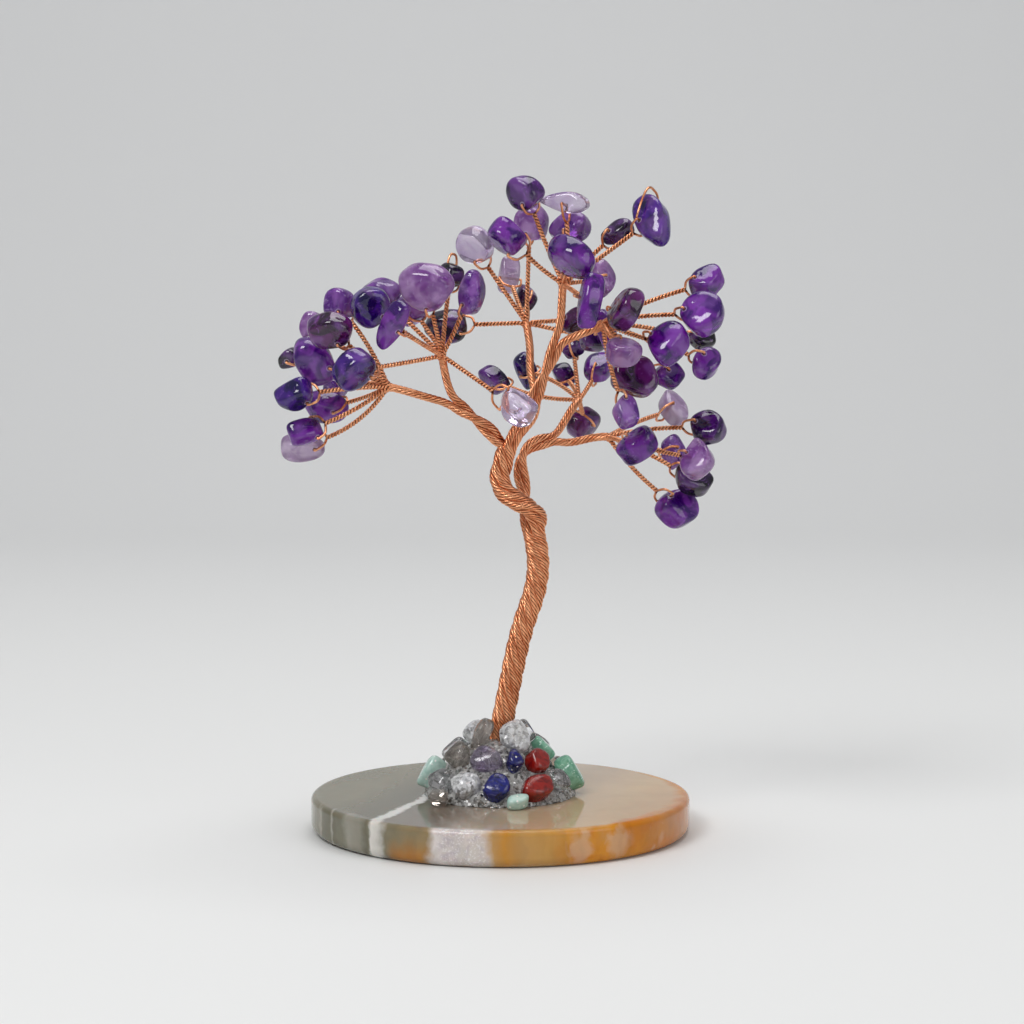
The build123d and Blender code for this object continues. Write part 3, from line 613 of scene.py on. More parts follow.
def hang(chips, knot, leave):
    """Where one knot's chips, holes, wire loops and twigs lie, each as an array over the chips.

    A hole lies a drill's edge inside the chip, on the side that faces the knot, and its loop clears
    the chip over all of its swing. The twig's arc and the chip's outward direction depend on each
    other, so they are settled over some passes.
    """
    column = {field: np.array([getattr(chip, field) for chip in chips])[:, None] for field in Chip._fields}
    middle = rise(np.hstack([column["across"], column["back"], column["up"]]))
    roll, lean, swing = (np.radians(column[field]) for field in ("roll", "lean", "swing"))
    outlines = [OUTLINE_SHARES[chip.outline] for chip in chips]
    most = max(len(outline) for outline in outlines)
    outlines = np.array([outline + outline[-1:] * (most - len(outline)) for outline in outlines])
    long_reach = outlines[..., :1] * column["long"][:, None] * CHIP_LENGTH
    wide_reach = outlines[..., 1:] * column["wide"][:, None] * CHIP_LENGTH
    start = knot + leave * (KNOT_DIAMETER / 2 + SEAT_GAP)
    arrival = unit(middle - start)
    half_loop = column["thick"] * CHIP_LENGTH / 2 + LOOP_CLEARANCE + WIRE_DIAMETER / 2
    for _ in range(SETTLING_PASSES):
        outward = arrival
        right, back = crosswise(outward)
        end_on = np.abs(outward[:, 1:2]) > END_ON
        right = np.where(end_on, unit(np.cross(ACROSS, outward)), right)
        back = np.where(end_on, ACROSS, back)
        drilled = unit(back * np.cos(roll) + right * np.sin(roll))
        drilled = unit(drilled - outward * along_of(drilled, outward))
        long_side = ACROSS * np.cos(lean) + UP * np.sin(lean)
        long_side = unit(long_side - drilled * along_of(drilled, long_side))
        wide_side = np.cross(drilled, long_side)
        corners = long_side[:, None] * long_reach + wide_side[:, None] * wide_reach
        inner = np.max(-along_of(corners, outward[:, None]), axis=1)
        hole = middle - outward * (inner - DRILL_EDGE)
        arms = corners + (middle - hole)[:, None]
        axis = drilled[:, None]
        lying = axis * along_of(arms, axis)
        reaches = []
        for angle in (-swing, 0 * swing, swing):
            turn = angle[:, None]
            turned = lying + (arms - lying) * np.cos(turn) + np.cross(axis, arms) * np.sin(turn)
            reaches.append(np.max(-along_of(turned, outward[:, None]), axis=1))
        bend = np.max(reaches, axis=0) + LOOP_CLEARANCE + WIRE_DIAMETER / 2
        crotch = hole - outward * (bend + half_loop * CROTCH_SHARE)
        chord = unit(crotch - start)
        arc_end = unit(chord * (2 * along_of(chord, leave)) - leave)
        arrival = unit(outward * 2 + arc_end)
    twig = start, leave, crotch, outward
    chip = hole, drilled, long_side, wide_side, middle
    return Hung(*twig, *chip, half_loop, bend, arms)


def hung_chips(paths):
    """Every knot's chips in their places."""
    tree = {}
    for name, chips in CHIP_SHARES.items():
        knot = paths[name][-1]
        stem = unit(paths[name][-2] - knot)
        least = 2 * np.arcsin((TWIG_DIAMETER + TWIG_GAP) / (KNOT_DIAMETER + 2 * SEAT_GAP))
        stem_least = least / 2 + np.arcsin((STRAND_DIAMETER + TWIG_GAP) / KNOT_DIAMETER)
        towards = np.array([rise(chip[:3]) for chip in chips]) - knot
        tree[name] = hang(chips, knot, fan_out(towards, stem, least, stem_least))
    return tree


STRANDS = strand_paths()
HUNG = hung_chips(STRANDS)


class Shells:
    """Closed surfaces gathered into one mesh, with the values that they carry point by point."""

    def __init__(self):
        self.points = []
        self.faces = []
        self.finishes = []
        self.carried = {}
        self.count = 0

    def add(self, points, faces, finish=0, **carried):
        """One more surface; each carried value has one row for every point, or one row for all."""
        points = points.reshape(-1, 3)
        for part in faces:
            self.faces.extend((part.reshape(-1, part.shape[-1]) + self.count).tolist())
            self.finishes.extend([finish] * (part.size // part.shape[-1]))
        self.points.append(points)
        self.count += len(points)
        for name, rows in carried.items():
            rows = np.broadcast_to(np.asarray(rows, float), (len(points), np.shape(rows)[-1]))
            self.carried.setdefault(name, []).append(rows)

    def piece(self, name, body, nodes, slot, materials):
        """The finished object, riding on its body in place of its solids."""
        mesh = bpy.data.meshes.new(name)
        mesh.from_pydata(np.vstack(self.points) * MILLIMETRE, [], self.faces)
        for material in materials:
            mesh.materials.append(material)
        mesh.polygons.foreach_set("material_index", np.array(self.finishes, np.int32))
        for carried, rows in self.carried.items():
            values = np.vstack(rows).astype(np.float32)
            mesh.attributes.new(carried, "FLOAT_VECTOR", "POINT").data.foreach_set("vector", values.ravel())
        mesh.shade_smooth()
        if mesh.validate():
            raise RuntimeError(f"{name} has faulty faces")
        obj = bpy.data.objects.new(name, mesh)
        bpy.context.scene.collection.objects.link(obj)
        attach(obj, body)
        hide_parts(*nodes)


def tube_faces(paths, stations, sides):
    """Faces of round wires laid point by point along each path: the walls, and a cap at either end."""
    index = np.arange(paths * stations * sides).reshape(paths, stations, sides)
    around = np.roll(index, -1, axis=2)
    walls = np.stack([index[:, :-1], around[:, :-1], around[:, 1:], index[:, 1:]], axis=-1)
    return [walls, index[:, 0, ::-1], index[:, -1]]


def untwisted(first, along):
    """Directions square to each path that don't turn about it.

    Each one is the last one with the part that runs along the path taken off.
    """
    spoke = np.empty_like(along)
    spoke[:, 0] = first
    for station in range(1, along.shape[1]):
        last = spoke[:, station - 1]
        spoke[:, station] = unit(last - along[:, station] * along_of(last, along[:, station]))
    return spoke


def tube(paths, radius, sides=7):
    """Round wires: a ring of points, square to the path and never turning, carried along each path."""
    along = unit(np.gradient(paths, axis=1))
    least = np.eye(3)[np.abs(along[:, 0]).argmin(axis=-1)]
    spoke = untwisted(unit(np.cross(along[:, 0], least)), along)
    beside = np.cross(along, spoke)
    angle = np.arange(sides) * 2 * np.pi / sides
    ring = spoke[:, :, None] * np.cos(angle)[:, None] + beside[:, :, None] * np.sin(angle)[:, None]
    return paths[:, :, None] + ring * radius, tube_faces(*paths.shape[:2], sides), ring


def run_lengths(paths):
    """Length along each path up to each of its points."""
    steps = np.linalg.norm(np.diff(paths, axis=-2), axis=-1)
    return np.concatenate([np.zeros_like(steps[..., :1]), np.cumsum(steps, axis=-1)], axis=-1)


def cut_corners(points, times=3):
    """A route with its corners cut: each run keeps its middle half, over and over, between fixed ends."""
    for _ in range(times):
        near = points[:, :-1] * 0.75 + points[:, 1:] * 0.25
        far = points[:, :-1] * 0.25 + points[:, 1:] * 0.75
        inside = np.stack([near, far], axis=2).reshape(len(points), -1, 3)
        points = np.concatenate([points[:, :1], inside[:, 1:-1], points[:, -1:]], axis=1)
    return points


def tumbled_stone(middle, sides, sizes, outline, seed, struck_shares=STRUCK_SHARES, meridians=48, rings=28):
    """A tumbled chip, as points, faces and its own coordinates.

    From the middle outwards along d the surface lies at the fill over s. There s is a high root of the
    summed powers of (n . d) / h over the flat sides of the sharp chip, with normals n at distances h,
    so that it keeps the flats and rounds what lies between them. A few more flats are struck off it
    at seeded angles, and slow waves leave it a little uneven, as tumbling does.
    """
    chance = np.random.default_rng(seed)
    length, width, thickness = sizes
    corner = np.array(OUTLINE_SHARES[outline]) * (length, width)
    edge = np.roll(corner, -1, axis=0) - corner
    normal = unit(np.stack([edge[:, 1], -edge[:, 0]], axis=-1))
    planes = np.vstack([np.pad(normal, ((0, 0), (0, 1))), UP, -UP])
    heights = np.concatenate([np.sum(normal * corner, axis=-1), [thickness / 2] * 2])
    levels = (-thickness / 2, thickness / 2)
    prism = np.vstack([np.pad(corner, ((0, 0), (0, 1)), constant_values=level) for level in levels])
    struck = unit(chance.normal(size=(STRUCK_FLATS, 3)) * (1 / length, 1 / width, STRUCK_LEVEL / thickness))
    reach = np.max(prism @ struck.T, axis=0)
    planes = np.vstack([planes, struck])
    heights = np.concatenate([heights, reach * chance.uniform(*struck_shares, len(struck))])
    tilt = np.linspace(0, np.pi, rings + 1)[1:-1, None]
    turn = np.arange(meridians) * 2 * np.pi / meridians
    girth = np.sin(tilt)
    grid = np.stack([np.cos(tilt) + 0 * turn, girth * np.cos(turn), girth * np.sin(turn)], axis=-1)
    spread = np.vstack([[ACROSS], grid.reshape(-1, 3), [-ACROSS]])
    directions = unit(spread * sizes)
    facing = np.maximum(directions @ planes.T / heights, 0)
    local = directions / np.sum(facing**TUMBLE_POWER, axis=-1, keepdims=True) ** (1 / TUMBLE_POWER)
    phase = chance.uniform(0, 2 * np.pi, (3, 3))
    waves = np.sin(local[:, None] * WAVE_RATES + phase).prod(axis=-1).mean(axis=-1, keepdims=True)
    local = local * (TUMBLE_FILL + WAVE_DEPTH * waves)
    index = np.arange(1, len(spread) - 1).reshape(rings - 1, meridians)
    around = np.roll(index, -1, axis=1)
    walls = np.stack([index[:-1], index[1:], around[1:], around[:-1]], axis=-1)
    first = np.stack([np.zeros(meridians, int), index[0], around[0]], axis=-1)
    last = np.stack([np.full(meridians, len(spread) - 1), around[-1], index[-1]], axis=-1)
    return middle + local @ np.array(sides), [walls, first, last], local


def feed(tree, socket, value):
    """A value linked into a socket, or set on it, where a plain colour gets its alpha."""
    if isinstance(value, bpy.types.NodeSocket):
        tree.links.new(value, socket)
    elif socket.type == "RGBA":
        socket.default_value = (*value, 1.0)
    else:
        socket.default_value = value


def add(tree, kind, inputs=(), **settings):
    """A shader node with its settings, and its inputs linked or set."""
    made = tree.nodes.new("ShaderNode" + kind)
    for name, value in settings.items():
        setattr(made, name, value)
    for name, value in dict(inputs).items():
        feed(tree, made.inputs[name], value)
    return made


def maths(tree, operation, *values):
    """A value worked out from up to three values."""
    return add(tree, "Math", dict(enumerate(values)), operation=operation).outputs[0]


def vector_maths(tree, operation, *values):
    """A vector worked out from one or two vectors."""
    return add(tree, "VectorMath", dict(enumerate(values)), operation=operation).outputs["Vector"]


def measured(tree, operation, *values):
    """A length, a distance or a dot product of vectors."""
    return add(tree, "VectorMath", dict(enumerate(values)), operation=operation).outputs["Value"]


def scaled(tree, vector, factor):
    """A vector or a colour times a value."""
    return add(tree, "VectorMath", {0: vector, "Scale": factor}, operation="SCALE").outputs["Vector"]


def step_between(tree, value, low, high):
    """0 below one value, 1 above another, smooth between them."""
    inputs = {"Value": value, "From Min": low, "From Max": high}
    return add(tree, "MapRange", inputs, interpolation_type="SMOOTHSTEP").outputs["Result"]


def between(tree, value, low, high, soft):
    """1 between two values, fading to 0 over a softness outside them."""
    risen = step_between(tree, value, low - soft, low)
    return maths(tree, "SUBTRACT", risen, step_between(tree, value, high, high + soft))


def blended(tree, share, first, second):
    """Two colours mixed."""
    return add(tree, "Mix", {0: share, 6: first, 7: second}, data_type="RGBA").outputs[2]


def ramp(tree, value, stops):
    """A colour read off along a row of stops."""
    made = add(tree, "ValToRGB", {"Fac": value})
    row = made.color_ramp.elements
    while len(row) < len(stops):
        row.new(0.5)
    for element, (place, colour) in zip(row, stops):
        element.position = place
        element.color = (*colour, 1.0)
    return made.outputs["Color"]


def noise(tree, place, scale, detail, distortion=0.0):
    """Soft cloudy values between 0 and 1."""
    inputs = {"Vector": place, "Scale": scale, "Detail": detail, "Distortion": distortion}
    return add(tree, "TexNoise", inputs).outputs["Fac"]


def cells(tree, place, scale):
    """Small cells: the distance from each one's middle, and its own random colour."""
    return add(tree, "TexVoronoi", {"Vector": place, "Scale": scale}, feature="F1").outputs


def channel(tree, colour, name):
    """The red, green or blue of a colour."""
    return add(tree, "SeparateColor", {"Color": colour}).outputs[name]


def effect(name, takes, gives):
    """An empty shader node group with named sockets, and its two ends."""
    group = bpy.data.node_groups.new(name, "ShaderNodeTree")
    for socket, kind in takes:
        group.interface.new_socket(socket, in_out="INPUT", socket_type="NodeSocket" + kind)
    for socket, kind in gives:
        group.interface.new_socket(socket, in_out="OUTPUT", socket_type="NodeSocket" + kind)
    return group, group.nodes.new("NodeGroupInput").outputs, group.nodes.new("NodeGroupOutput").inputs


def placed(tree, group, **inputs):
    """A node group put into a material, with its inputs linked or set."""
    return add(tree, "Group", inputs, node_tree=group).outputs


def stone_depth():
    """Colour zones, pale veils and painted shade in the drilled mouth of a clear stone, from its own
    coordinates.
    """
    takes = (("Tone", "Color"), ("Pale", "Color"), ("Grain", "Vector"), ("Bore", "Vector"), ("Veil", "Float"))
    gives = (("Color", "Color"), ("Roughness", "Float"), ("Height", "Float"))
    group, given, out = effect("stone_depth", takes, gives)
    tone, pale, grain = given["Tone"], given["Pale"], given["Grain"]
    zones = noise(group, grain, 0.3, 2.0, 0.6)
    deep = vector_maths(group, "MULTIPLY", tone, tone)
    colour = blended(group, step_between(group, zones, 0.4, 0.6), tone, deep)
    thin = noise(group, vector_maths(group, "ADD", grain, (31.0, 7.0, 13.0)), 0.26, 1.0, 0.4)
    thin = maths(group, "MULTIPLY", step_between(group, thin, 0.5, 0.68), 0.3)
    colour = blended(group, thin, colour, pale)
    wisps = noise(group, grain, 0.75, 5.0, 1.8)
    wisps = maths(group, "MULTIPLY", step_between(group, wisps, 0.56, 0.74), given["Veil"])
    colour = blended(group, wisps, colour, pale)
    away = measured(group, "LENGTH", given["Bore"])
    rim = step_between(group, away, 0.3, 0.36)
    rim = maths(group, "SUBTRACT", rim, step_between(group, away, 0.42, 0.6))
    colour = blended(group, maths(group, "MULTIPLY", rim, 0.55), colour, paint(214, 196, 226))
    # Painted shade: the mouth of the hole, which the surface doesn't cut, is painted near black as the shade
    # inside it.
    mouth = step_between(group, away, 0.24, 0.34)
    group.links.new(blended(group, mouth, paint(22, 10, 26), colour), out["Color"])
    fine = noise(group, grain, 2.2, 2.0)
    group.links.new(maths(group, "MULTIPLY", fine, 0.12), out["Roughness"])
    waves = maths(group, "MULTIPLY_ADD", fine, 0.06, noise(group, grain, 0.55, 1.0))
    group.links.new(maths(group, "MULTIPLY_ADD", mouth, 0.3, waves), out["Height"])
    return group


def speckle():
    """Scattered bright flecks, as a mask, from a stone's own coordinates."""
    takes = (("Grain", "Vector"), ("Scale", "Float"), ("Share", "Float"))
    group, given, out = effect("speckle", takes, (("Mask", "Float"),))
    cell = cells(group, given["Grain"], given["Scale"])
    chosen = maths(group, "LESS_THAN", channel(group, cell["Color"], "Red"), given["Share"])
    core = maths(group, "LESS_THAN", cell["Distance"], 0.34)
    group.links.new(maths(group, "MULTIPLY", chosen, core), out["Mask"])
    return group


def crushed():
    """Facets of broken crystal: in each of many small cells a normal tipped at random, and a brightness.

    A share of still smaller cells is painted white as glints, a painted highlight.
    """
    takes = (("Grain", "Vector"), ("Scale", "Float"), ("Tip", "Float"), ("Contrast", "Float"))
    group, given, out = effect("crushed", takes, (("Normal", "Vector"), ("Shade", "Float")))
    grain, scale = given["Grain"], given["Scale"]
    facet = cells(group, grain, scale)["Color"]
    tip = scaled(group, vector_maths(group, "SUBTRACT", facet, MIDDLE_GREY), given["Tip"])
    facing = add(group, "NewGeometry").outputs["Normal"]
    group.links.new(vector_maths(group, "NORMALIZE", vector_maths(group, "ADD", facing, tip)), out["Normal"])
    unlit = maths(group, "SUBTRACT", 1.0, channel(group, facet, "Blue"))
    dimmed = maths(group, "MULTIPLY", unlit, given["Contrast"])
    # Painted highlight: a share of still smaller cells is painted white as glints.
    glint_cell = cells(group, grain, maths(group, "MULTIPLY", scale, GLINT_CELL_SCALE))["Color"]
    glint = maths(group, "GREATER_THAN", channel(group, glint_cell, "Red"), 1 - GLINT_SHARE)
    group.links.new(maths(group, "MAXIMUM", maths(group, "SUBTRACT", 1.0, dimmed), glint), out["Shade"])
    return group


def read(tree, name, output="Vector"):
    """A value that the piece carries point by point."""
    return add(tree, "Attribute", attribute_name=name).outputs[output]


def finish(name, **sockets):
    """A material with its Principled shader, whose plain sockets are set."""
    material = bpy.data.materials.new(name)
    material.use_nodes = True
    shader = material.node_tree.nodes["Principled BSDF"]
    for socket, value in sockets.items():
        shader.inputs[socket.replace("_", " ")].default_value = value
    return material, material.node_tree, shader.inputs


def bumped(tree, height, distance, strength, **normal):
    """A normal raised by a height, over a distance in millimetres."""
    inputs = {"Height": height, "Distance": distance * MILLIMETRE, "Strength": strength, **normal}
    return add(tree, "Bump", inputs).outputs["Normal"]


def clear_stone(name, depth, pale, veil, transmission, tone=None, broken=None):
    """A clear or cloudy stone: colour zones and veils over a share of light that passes through.

    A broken stone also has facets, from their node group, cells to the millimetre, tip and contrast, with
    glints painted white.
    """
    glass = {"IOR": STONE_IOR, "Transmission_Weight": transmission, "Specular_IOR_Level": 0.6}
    material, tree, shader = finish(name, **glass)
    given = {"Grain": read(tree, "grain"), "Bore": read(tree, "bore"), "Pale": pale, "Veil": veil}
    given["Tone"] = tone if tone is not None else read(tree, "tone", "Color")
    look = placed(tree, depth, **given)
    colour, normal = look["Color"], {}
    tree.links.new(look["Roughness"], shader["Roughness"])
    if broken:
        facets, scale, tip, contrast = broken
        cut = placed(tree, facets, Grain=given["Grain"], Scale=scale, Tip=tip, Contrast=contrast)
        colour = scaled(tree, colour, cut["Shade"])
        normal["Normal"] = cut["Normal"]
    tree.links.new(colour, shader["Base Color"])
    tree.links.new(bumped(tree, look["Height"], 0.25, 0.5, **normal), shader["Normal"])
    return material


def flecked_stone(name, flecks, tone, dark, fleck, scale, share, roughness):
    """A solid coloured stone: two tones clouded together, with flecks scattered through it."""
    polish = {"Roughness": roughness, "IOR": STONE_IOR, "Coat_Weight": 0.3, "Coat_Roughness": 0.08}
    material, tree, shader = finish(name, **polish)
    grain = read(tree, "grain")
    clouds = noise(tree, grain, 0.7, 5.0, 1.2)
    colour = blended(tree, step_between(tree, clouds, 0.36, 0.66), tone, dark)
    mask = placed(tree, flecks, Grain=grain, Scale=scale, Share=share)["Mask"]
    tree.links.new(blended(tree, mask, colour, fleck), shader["Base Color"])
    tree.links.new(bumped(tree, noise(tree, grain, 1.2, 3.0), 0.2, 0.5), shader["Normal"])
    return material


def in_millimetres(tree):
    """The place on the object, in millimetres."""
    place = add(tree, "TexCoord").outputs["Object"]
    return add(tree, "Mapping", {"Vector": place, "Scale": (1 / MILLIMETRE,) * 3}).outputs[0]


def copper_wire(colours):
    """Bright drawn copper: browned unevenly along each wire, with shade painted dark where wires press
    together.
    """
    material, tree, shader = finish("copper_wire", Metallic=1.0)
    lay = add(tree, "SeparateXYZ", {"Vector": read(tree, "lay")}).outputs
    place = in_millimetres(tree)
    run = maths(tree, "MULTIPLY", lay["Y"], 0.25)
    drawn = add(tree, "CombineXYZ", {"X": run, "Y": lay["Z"]}).outputs[0]
    browned = noise(tree, drawn, 1.7, 3.0, 0.4)
    colour = blended(tree, step_between(tree, browned, 0.4, 0.72), colours.copper, colours.patina)
    # Painted shade: where a wire faces in towards its neighbours, its colour is painted a dark brown.
    open_side = step_between(tree, lay["X"], -0.15, 0.65)
    tree.links.new(blended(tree, open_side, paint(98, 36, 14), colour), shader["Base Color"])
    rough = maths(tree, "MULTIPLY_ADD", noise(tree, place, 1.6, 3.0), 0.2, 0.2)
    tree.links.new(rough, shader["Roughness"])
    tree.links.new(bumped(tree, noise(tree, place, 9.0, 2.0), 0.02, 0.4), shader["Normal"])
    return material


def banded(tree, band, rows):
    """Colours in bands, from rows of a distance across the slice and a colour."""
    stops = [(distance / AGATE_SPAN + 0.5, paint(*colour)) for distance, colour in rows]
    return ramp(tree, maths(tree, "MULTIPLY_ADD", band, 1 / AGATE_SPAN, 0.5), stops)


def agate_side(tree, place, swayed, band):
    """The rim of the slice: its bands, with amber stains, paler islands, and sparkling druse."""
    side = banded(tree, band, AGATE_SIDE)
    clouds = noise(tree, swayed, 0.2, 3.0, 0.5)
    stained = step_between(tree, clouds, 0.44, 0.64)
    stained = maths(tree, "MULTIPLY", stained, step_between(tree, band, 17.0, 23.0))
    side = blended(tree, maths(tree, "MULTIPLY", stained, 0.6), side, paint(186, 106, 8))
    ragged = maths(tree, "MULTIPLY_ADD", noise(tree, place, 0.28, 4.0, 0.8), 9.0, -4.5)
    for *middle, radius in AGATE_ISLANDS:
        away = measured(tree, "DISTANCE", place, middle)
        island = step_between(tree, maths(tree, "ADD", away, ragged), radius * 1.3, radius * 0.3)
        side = blended(tree, maths(tree, "MULTIPLY", island, 0.65), side, paint(204, 166, 134))
    height = add(tree, "SeparateXYZ", {0: swayed}).outputs["Z"]
    low = maths(tree, "SUBTRACT", 1.0, step_between(tree, height, 0.5, 4.5))
    blotch = maths(tree, "MULTIPLY", low, between(tree, band, -7.5, -3.5, 2.5))
    side = blended(tree, blotch, side, paint(170, 112, 40))
    druse = between(tree, band, 0.4, 7.6, 1.6)
    clouds = maths(tree, "MULTIPLY", druse, step_between(tree, noise(tree, place, 0.9, 4.0), 0.42, 0.7))
    side = blended(tree, maths(tree, "MULTIPLY", clouds, 0.5), side, paint(172, 158, 172))
    grains = maths(tree, "MULTIPLY", druse, step_between(tree, noise(tree, place, 3.2, 1.0), 0.54, 0.66))
    return blended(tree, maths(tree, "MULTIPLY", grains, 0.4), side, paint(246, 242, 244))


def polished_agate():
    """Banded slice: olive and grey bands across it, a white band, warm beige, and an amber rim.

    A place's band is its distance across the slice along a slanting line, swayed by slow noise. The
    rim's own bands take over near the edge.
    """
    depth = {"Subsurface_Weight": 0.2, "Subsurface_Scale": 2 * MILLIMETRE}
    material, tree, shader = finish("polished_agate", IOR=STONE_IOR, Specular_IOR_Level=0.35, **depth)
    place = in_millimetres(tree)
    swayed = place
    for scale, reach in ((0.07, 5.0), (0.4, 2.2)):
        sway = add(tree, "TexNoise", {"Vector": place, "Scale": scale, "Detail": 3.0}).outputs["Color"]
        sway = scaled(tree, vector_maths(tree, "SUBTRACT", sway, MIDDLE_GREY), reach)
        swayed = vector_maths(tree, "ADD", swayed, sway)
    band = measured(tree, "DOT_PRODUCT", swayed, AGATE_SLANT)
    flat = vector_maths(tree, "MULTIPLY", swayed, (2 / BASE_WIDTH, 2 / BASE_DEPTH, 0))
    rim = step_between(tree, measured(tree, "LENGTH", flat), 0.92, 0.99)
    colour = blended(tree, rim, banded(tree, band, AGATE_TOP), agate_side(tree, place, swayed, band))
    streaks = add(tree, "Mapping", {"Vector": swayed, "Scale": (1.0, 1.0, 0.15)}).outputs[0]
    streaks = noise(tree, streaks, 0.42, 5.0, 0.4)
    clouds = noise(tree, swayed, 0.09, 4.0, 0.5)
    strength = maths(tree, "MULTIPLY_ADD", rim, 0.4, 0.06)
    clouded = maths(tree, "MULTIPLY_ADD", step_between(tree, clouds, 0.3, 0.7), 0.12, 0.92)
    shade = maths(tree, "MULTIPLY_ADD", maths(tree, "SUBTRACT", streaks, 0.5), strength, clouded)
    tree.links.new(scaled(tree, colour, shade), shader["Base Color"])
    tree.links.new(maths(tree, "MULTIPLY_ADD", streaks, 0.1, 0.04), shader["Roughness"])
    tree.links.new(bumped(tree, noise(tree, place, 0.12, 2.0), 0.1, 0.12), shader["Normal"])
    return material


class WIRETREE_OT_slice(bpy.types.Operator):
    """Gives the slice its bands and polish"""

    bl_idname = "wiretree.slice"
    bl_label = "Polished slice"

    def execute(self, context):
        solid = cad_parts["agate_base"]
        solid.data.materials.clear()
        solid.data.materials.append(polished_agate())
        return {"FINISHED"}


class WIRETREE_OT_mound(bpy.types.Operator):
    """Heaps the glued chips, each kind of stone in its own finish, on a bed of clear glue"""

    bl_idname = "wiretree.mound"
    bl_label = "Glued mound"

    def execute(self, context):
        colours, sizes = context.scene.wire_tree_colours, context.scene.wire_tree_sizes
        depth, flecks, facets = stone_depth(), speckle(), crushed()
        white = paint(232, 232, 226)
        flecked = {
            "lapis": (colours.lapis, paint(10, 12, 62), white, 1.4, 0.1, 0.2),
            "jasper": (colours.jasper, paint(104, 10, 3), paint(150, 44, 22), 2.2, 0.1, 0.24),
            "aventurine": (colours.aventurine, paint(92, 150, 124), paint(186, 220, 200), 3.2, 0.16, 0.18),
            "amazonite": (colours.amazonite, paint(164, 198, 188), white, 1.8, 0.3, 0.2),
        }
        finishes = {name: [flecked_stone(name + "_stone", flecks, *look)] for name, look in flecked.items()}
        # Painted highlight: the crackled quartz's facets also paint a share of small cells white as glints.
        crackle = facets, 2.0, 1.1, 0.42
        finishes["quartz"] = [
            clear_stone("clear_quartz", depth, white, 1.0, 0.96, colours.quartz),
            clear_stone("crackled_quartz", depth, white, 1.0, 0.3, colours.quartz, crackle),
            clear_stone("lilac_quartz", depth, white, 0.8, 0.9, paint(216, 202, 232)),
        ]
        finishes["smoky"] = [clear_stone("smoky_quartz", depth, white, 0.5, 0.85, colours.smoky)]
        for stone, looks in finishes.items():
            shells = Shells()
            for number, row in enumerate(MOUND_SHARES):
                if row.stone != stone:
                    continue
                reach = np.array([row.long, row.wide, row.thick]) * MOUND_CHIP_LENGTH * sizes.mound_fill
                middle, sides = stone_place(row)
                seed = MOUND_SEED + number
                points, faces, local = tumbled_stone(
                    middle, sides, reach, row.outline, seed, MOUND_STRUCK_SHARES
                )
                shells.add(points, faces, row.look, grain=local + number * GRAIN_STEP, bore=NO_BORE)
            shells.piece("glued_" + stone, TREE_BODY, ["mound_" + stone], stone, looks)
        glue, faces, local = glue_heap()
        shells = Shells()
        shells.add(glue, faces, grain=local, bore=NO_BORE)
        # Painted highlight: the glue's facets also paint a share of small cells white as glints.
        crumbs = facets, 2.0, 1.4, 0.7
        material = clear_stone("clear_glue", depth, white, 0.8, 0.5, paint(246, 245, 243), crumbs)
        shells.piece("glue", TREE_BODY, ["glue_bed"], "glue", [material])
        return {"FINISHED"}


def stone_place(row):
    """A glued chip's middle and its long, wide and upper directions."""
    around, tip, spin = np.radians([row.around, row.tip, row.spin])
    outward = ACROSS * np.sin(around) - BACK * np.cos(around)
    beside = ACROSS * np.cos(around) + BACK * np.sin(around)
    normal = outward * np.sin(tip) + UP * np.cos(tip)
    long_side = beside * np.cos(spin) + np.cross(normal, beside) * np.sin(spin)
    middle = (outward * row.out + UP * row.up) * MOUND_RADIUS + UP * BASE_THICKNESS
    return middle, (long_side, np.cross(normal, long_side), normal)


def glue_heap(meridians=200, rings=60, crumbs=340):
    """The glue heap: a cone whose radius shrinks evenly with height, lumpy with crumbs of stone.

    Round each of some hundreds of seeded places a dome stands out, as one less the square of the
    distance over its width, and the highest dome counts.
    """
    chance = np.random.default_rng(GLUE_SEED)
    up = np.linspace(0, 1, rings)[:, None]
    turn = np.arange(meridians) * 2 * np.pi / meridians

    def cone(up, turn, proud):
        radius = MOUND_RADIUS + (MOUND_TOP_RADIUS - MOUND_RADIUS) * up + proud
        height = BASE_THICKNESS + SEAT_GAP + MOUND_HEIGHT * up + proud * CRUMB_LIFT_SHARE
        return np.stack([radius * np.sin(turn), -radius * np.cos(turn), height + 0 * turn], axis=-1)

    seats = cone(chance.uniform(0, 1, crumbs) ** CRUMB_LOWNESS, chance.uniform(0, 2 * np.pi, crumbs), 0)
    widths = chance.uniform(*CRUMB_WIDTHS, crumbs)
    away = np.linalg.norm(cone(up, turn, 0).reshape(-1, 1, 3) - seats, axis=-1)
    domes = np.max((1 - (away / widths) ** 2) * widths * CRUMB_HEIGHT_SHARE, axis=-1).clip(0)
    proud = domes.reshape(rings, meridians) * np.minimum(1, CRUMB_FADE * np.minimum(up, 1 - up))
    points = cone(up, turn, proud).reshape(-1, 3)
    index = np.arange(len(points)).reshape(rings, meridians)
    around = np.roll(index, -1, axis=1)
    walls = np.stack([index[:-1], around[:-1], around[1:], index[1:]], axis=-1)
    return points, [walls, index[:1, ::-1], index[-1:]], points - UP * BASE_THICKNESS


class WIRETREE_OT_boughs(bpy.types.Operator):
    """Lays the fine wires of each strand from the slice up to its knot"""

    bl_idname = "wiretree.boughs"
    bl_label = "Trunk and boughs"

    def execute(self, context):
        sizes = context.scene.wire_tree_sizes
        copper = copper_wire(context.scene.wire_tree_colours)
        for name, points in STRANDS.items():
            shells = Shells()
            points, faces, lay = strand_wires(points, sizes)
            shells.add(points, faces, lay=lay)
            shells.piece("strand_" + name, TREE_BODY, ["bough_" + name], "copper", [copper])
        return {"FINISHED"}


